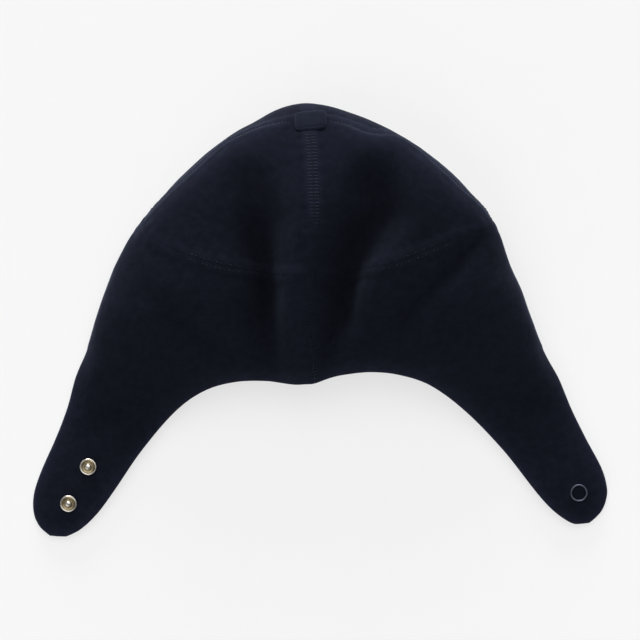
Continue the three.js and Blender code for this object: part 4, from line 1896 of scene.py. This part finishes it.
@dataclass
class TopTab:
    """The folded tab at the seam crossing, fallen over onto the back.

    Sizes are in mm. Its corners, the start of its rounded edge, and the crease's place and
    reach are shares of its half width and half length.
    """

    material: bpy.types.Material
    left: float = -14.1
    right: float = 3.4
    root: float = 7.2
    end: float = 17.6
    slant: float = 0.09
    root_thick: float = 2.2
    end_thick: float = 1.3
    lift: float = 0.05
    ease: float = 0.86
    corner: float = 0.16
    round_from: float = 0.66
    swell: float = 0.7
    crease: float = 0.22
    crease_place: float = 0.72
    crease_reach: float = 0.08
    crease_wall: float = 0.2
    across: int = 60
    along: int = 44

    def _spread(self, count: int) -> np.ndarray:
        """Spreads lines over the tab from -1 to 1, closer together near both ends."""
        line = np.linspace(-1, 1, count + 1)
        return np.sin(line * QUARTER * self.ease) / math.sin(QUARTER * self.ease)

    def make(self) -> bpy.types.Object:
        """Builds the tab over the crossing.

        Returns:
            The finished piece.
        """
        across, along = np.meshgrid(self._spread(self.across), self._spread(self.along))
        pull = 1 - self.corner * (np.abs(across) * np.abs(along)) ** 4
        half = (self.right - self.left) / 2
        centre = (self.left + self.right) / 2
        x = centre + across * pull * half
        depth = (self.root + self.end) / 2 + along * pull * (self.end - self.root) / 2
        depth = depth - (x - centre) * self.slant
        turn, latitude = HAT.seen_at(x, depth)
        points = HAT.points(turn, latitude)
        normal = HAT.normals(turn, latitude)
        share = (along + 1) / 2
        thick = self.root_thick + (self.end_thick - self.root_thick) * share
        middle = points + normal * (HALF_WALL + thick / 2 + self.lift)[..., None]
        edge = np.maximum(np.abs(across), np.abs(along))
        rounding = ((edge - self.round_from) / (1 - self.round_from)).clip(0) ** 2
        half_wall = thick / 2 * np.sqrt(np.clip(1 - rounding, 0, 1))
        swell = self.swell * (1 - across**4) * (1 - along**4)
        crease = self.crease * np.exp(-(((along - self.crease_place) / self.crease_reach) ** 2))
        crease = crease * (half_wall > self.crease_wall)
        outer = middle + normal * (half_wall + swell - crease)[..., None]
        inner = middle - normal * half_wall[..., None]
        bm = bmesh.new()
        first = MeshTools.grid(bm, outer)
        second = MeshTools.grid(bm, inner)
        bmesh.ops.remove_doubles(bm, verts=first + second, dist=0.002)
        bmesh.ops.recalc_face_normals(bm, faces=bm.faces)
        piece = MeshTools.finish(bm, "folded_top_tab", self.material)
        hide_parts("top_tab")
        return piece


@dataclass
class SnapSet:
    """Studs on the left flap, the open ring on the right flap, and their hidden backs."""

    nickel: bpy.types.Material
    dish: bpy.types.Material
    lacquer: bpy.types.Material
    gap: float = 0.35
    turns: int = 56

    STUDS: ClassVar[dict] = {"stud_upper": (-133.3, 209.0), "stud_lower": (-144.7, 230.2)}
    RING: ClassVar[tuple] = (149.0, 224.0)
    STUD_RIM: ClassVar[tuple] = (
        (4.3, 0.05), (4.6, 0.12), (4.82, 0.38), (4.86, 0.7), (4.78, 1.02), (4.58, 1.24),
        (4.32, 1.3), (4.06, 1.2), (3.9, 1.0), (3.8, 0.8),
    )
    STUD_DISH: ClassVar[tuple] = (
        (3.8, 0.8), (3.4, 0.6), (2.8, 0.48), (2.2, 0.44), (1.9, 0.5), (1.72, 0.75),
    )
    STUD_POST: ClassVar[tuple] = (
        (1.72, 0.75), (1.55, 1.1), (1.52, 1.5), (1.66, 1.9), (1.68, 2.15), (1.5, 2.42),
        (1.15, 2.56), (0.6, 2.64), (0.0, 2.66),
    )
    RING_SECTION: ClassVar[tuple] = (
        (4.15, 0.0), (4.7, 0.0), (4.94, 0.14), (5.0, 0.42), (4.9, 0.72), (4.68, 0.9),
        (4.42, 0.9), (4.2, 0.74), (4.1, 0.45), (4.15, 0.0),
    )
    SOCKET: ClassVar[tuple] = (
        (0.0, 0.0), (4.6, 0.0), (4.86, 0.2), (4.9, 0.6), (4.5, 0.95), (3.7, 1.15), (3.45, 1.8),
        (3.2, 2.0), (2.2, 2.0), (2.0, 1.8), (2.0, 0.65), (0.0, 0.6),
    )

    def _seat(self, x: float, depth: float, face: int) -> Matrix:
        """Finds the place of a snap piece that stands on a face of the cloth.

        Args:
            x: its x.
            depth: its depth.
            face: 1 for the outer face, -1 for the inner one.

        Returns:
            The place, with Z out of the cloth.
        """
        turn, latitude = HAT.seen_at(np.array(x), np.array(depth))
        normal = Vector(HAT.normals(turn, latitude))
        at = Vector(HAT.points(turn, latitude)) + normal * face * (HALF_WALL + self.gap)
        return Matrix.Translation(at) @ (normal * face).to_track_quat("Z", "Y").to_matrix().to_4x4()

    def _spin(self, bm: bmesh.types.BMesh, section: Sequence[tuple], material: int) -> None:
        """Spins a section about Z.

        Args:
            bm: the mesh to add to.
            section: points of radius and height in mm.
            material: the material's number.
        """
        verts = [bm.verts.new((radius, 0.0, height)) for radius, height in section]
        edges = [bm.edges.new(pair) for pair in zip(verts, verts[1:])]
        before = set(bm.faces)
        bmesh.ops.spin(
            bm,
            geom=verts + edges,
            cent=(0, 0, 0),
            axis=(0, 0, 1),
            angle=2 * math.pi,
            steps=self.turns,
            use_merge=True,
        )
        for face in set(bm.faces) - before:
            face.material_index = material

    def _piece(
        self,
        name: str,
        node: str,
        sections: Sequence[tuple],
        materials: Sequence[bpy.types.Material],
        seat: Matrix,
    ) -> bpy.types.Object:
        """Builds one turned snap piece.

        Args:
            name: the piece's name.
            node: the node that it stands for.
            sections: (section, material number) pairs.
            materials: the piece's materials.
            seat: its place on the cloth.

        Returns:
            The finished piece.
        """
        bm = bmesh.new()
        for section, number in sections:
            self._spin(bm, section, number)
        bmesh.ops.remove_doubles(bm, verts=bm.verts, dist=0.001)
        bmesh.ops.recalc_face_normals(bm, faces=bm.faces)
        bmesh.ops.transform(bm, matrix=seat, verts=bm.verts)
        piece = MeshTools.finish(bm, name, materials[0])
        for material in materials[1:]:
            piece.data.materials.append(material)
        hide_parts(node)
        return piece

    def make(self) -> list[bpy.types.Object]:
        """Builds the studs with their backs, the open ring and its socket.

        Returns:
            The finished pieces.
        """
        made = []
        base = ((0.0, 0.0), (4.3, 0.05))
        stud = [(base, 0), (self.STUD_RIM, 0), (self.STUD_DISH, 1), (self.STUD_POST, 0)]
        metals = [self.nickel, self.dish]
        ring = [(self.RING_SECTION, 0)]
        for node, (x, depth) in self.STUDS.items():
            over, under = self._seat(x, depth, 1), self._seat(x, depth, -1)
            back = f"{node}_back"
            made.append(self._piece(f"{node}_face", node, stud, metals, over))
            made.append(
                self._piece(f"{back}_ring", back, ring, [self.lacquer], under)
            )
        over, under = self._seat(*self.RING, 1), self._seat(*self.RING, -1)
        cup = [(self.SOCKET, 0)]
        made.append(
            self._piece("open_ring", "snap_ring", ring, [self.lacquer], over)
        )
        made.append(
            self._piece("socket_cup", "snap_socket", cup, [self.nickel], under)
        )
        return made


class Lamp(NamedTuple):
    """A far soft lamp: its strength, spread, tilt to the crown and swing, in degrees."""

    name: str
    strength: float
    spread: float
    tilt: float
    swing: float


@dataclass
class Studio:
    """Pale table, soft light and the camera above the hat."""

    pixels: int = 640
    mm_per_pixel: float = 0.575
    camera_height: float = 2.6
    focus_height: float = 0.012
    sensor: float = 36.0
    table_size: float = 6.0
    world_strength: float = 0.12
    lamps: tuple = (
        Lamp("overhead", 1.6, 62.0, 29.0, 0.0),
        Lamp("low_key", 4.0, 30.0, 85.0, 4.0),
        Lamp("low_fill", 0.95, 70.0, -62.0, -35.0),
    )
    table_shade: float = 0.32
    grain: float = 0.01
    table_glow: float = 0.662

    def camera(self) -> bpy.types.Object:
        """Puts the camera straight above the hat.

        Returns:
            The camera.
        """
        data = bpy.data.cameras.new("camera")
        data.sensor_width = self.sensor
        view = self.pixels * self.mm_per_pixel * MM
        data.lens = self.sensor * (self.camera_height - self.focus_height) / view
        data.clip_end = 20.0
        camera = bpy.data.objects.new("camera", data)
        camera.location = (0.0, 0.0, self.camera_height)
        bpy.context.scene.collection.objects.link(camera)
        bpy.context.scene.camera = camera
        return camera

    def table(self) -> bpy.types.Object:
        """Makes the pale table top.

        Returns:
            The table.
        """
        bm = bmesh.new()
        bmesh.ops.create_grid(bm, x_segments=4, y_segments=4, size=self.table_size / 2)
        mesh = bpy.data.meshes.new("floor")
        bm.to_mesh(mesh)
        bm.free()
        floor = bpy.data.objects.new("floor", mesh)
        bpy.context.scene.collection.objects.link(floor)
        fin = Finish("pale_table")
        speckle = fin.noise(scale=60.0, detail=2.0, rough=0.5)
        low, high = self.table_shade * (1 - self.grain), self.table_shade * (1 + self.grain)
        fin.link(
            fin.ramp(speckle, [(0.3, (low, low, low, 1)), (0.7, (high, high, high, 1))]),
            fin.shader.inputs["Base Color"],
        )
        fin.shader.inputs["Emission Color"].default_value = (1, 1, 1, 1)
        fin.shader.inputs["Emission Strength"].default_value = self.table_glow
        fin.shader.inputs["Roughness"].default_value = 0.9
        fin.shader.inputs["Specular IOR Level"].default_value = 0.0
        mesh.materials.append(fin.material)
        return floor

    def lights(self) -> None:
        """Lights the hat with two lamps from the crown's side and a low one from the flaps'."""
        world = bpy.data.worlds.new("studio")
        bpy.context.scene.world = world
        world.use_nodes = True
        world.node_tree.nodes["Background"].inputs["Color"].default_value = (1, 1, 1, 1)
        world.node_tree.nodes["Background"].inputs["Strength"].default_value = self.world_strength
        for plan in self.lamps:
            data = bpy.data.lights.new(plan.name, "SUN")
            data.energy = plan.strength
            data.angle = math.radians(plan.spread)
            lamp = bpy.data.objects.new(plan.name, data)
            lamp.rotation_euler = (-math.radians(plan.tilt), 0.0, math.radians(plan.swing))
            bpy.context.scene.collection.objects.link(lamp)
        bpy.context.scene.view_settings.view_transform = "Standard"


def main() -> None:
    """Builds the hat and its studio."""
    logging.basicConfig(level=logging.INFO, format="%(name)s: %(message)s")
    studio = Studio()
    studio.camera()
    studio.table()
    studio.lights()
    seams = HatSeams()
    fleece = FleeceFinish("navy_fleece").make()
    tab_cloth = FleeceFinish(
        "tab_cloth", dark=(0.0078, 0.0096, 0.0170, 1), light=(0.0130, 0.0160, 0.0280, 1)
    ).make()
    thread = ThreadFinish("navy_thread").make()
    nickel = MetalFinish("warm_nickel", (0.72, 0.69, 0.63, 1), (0.6, 0.56, 0.48, 1)).make()
    dish = MetalFinish("tarnished_dish", (0.31, 0.26, 0.16, 1), (0.19, 0.145, 0.08, 1), 0.3).make()
    lacquer = MetalFinish("dark_lacquer", (0.1, 0.115, 0.16, 1), (0.16, 0.175, 0.22, 1), 0.4).make()
    quarters = ("crown_back_right", "crown_back_left", "crown_front_left", "crown_front_right")
    for k, node in enumerate(quarters):
        CrownPanel(f"{node}_panel", node, "shell_fleece", fleece, seams, first_seam=k).make()
    for side in Side:
        node = f"side_{side.value}"
        SidePanel(f"{node}_panel", node, "shell_fleece", fleece, seams, side=side).make()
    soft_thread = ThreadFinish(
        "soft_navy_thread", (0.0080, 0.0090, 0.0172, 1.0), (0.0118, 0.0132, 0.0248, 1.0)
    ).make()
    stitches = StitchWork(thread, seams)
    soft_stitches = StitchWork(soft_thread, seams)
    ladder, rows = StitchStyle.LADDER, StitchStyle.TWIN_ROWS
    stitches.build("stitches_back_seam", ["back"], ladder, start=8.0)
    soft_stitches.build("stitches_side_seams", ["right", "left"], ladder, start=8.0)
    soft_stitches.build("stitches_ring_seam", ["ring_back", "ring_front"], rows)
    stitches.build("stitches_front_seam", ["front", "front_band"], ladder, start=44.0)
    TopTab(tab_cloth).make()
    SnapSet(nickel, dish, lacquer).make()
    log.info("hat built")


if __name__ == "__main__":
    main()
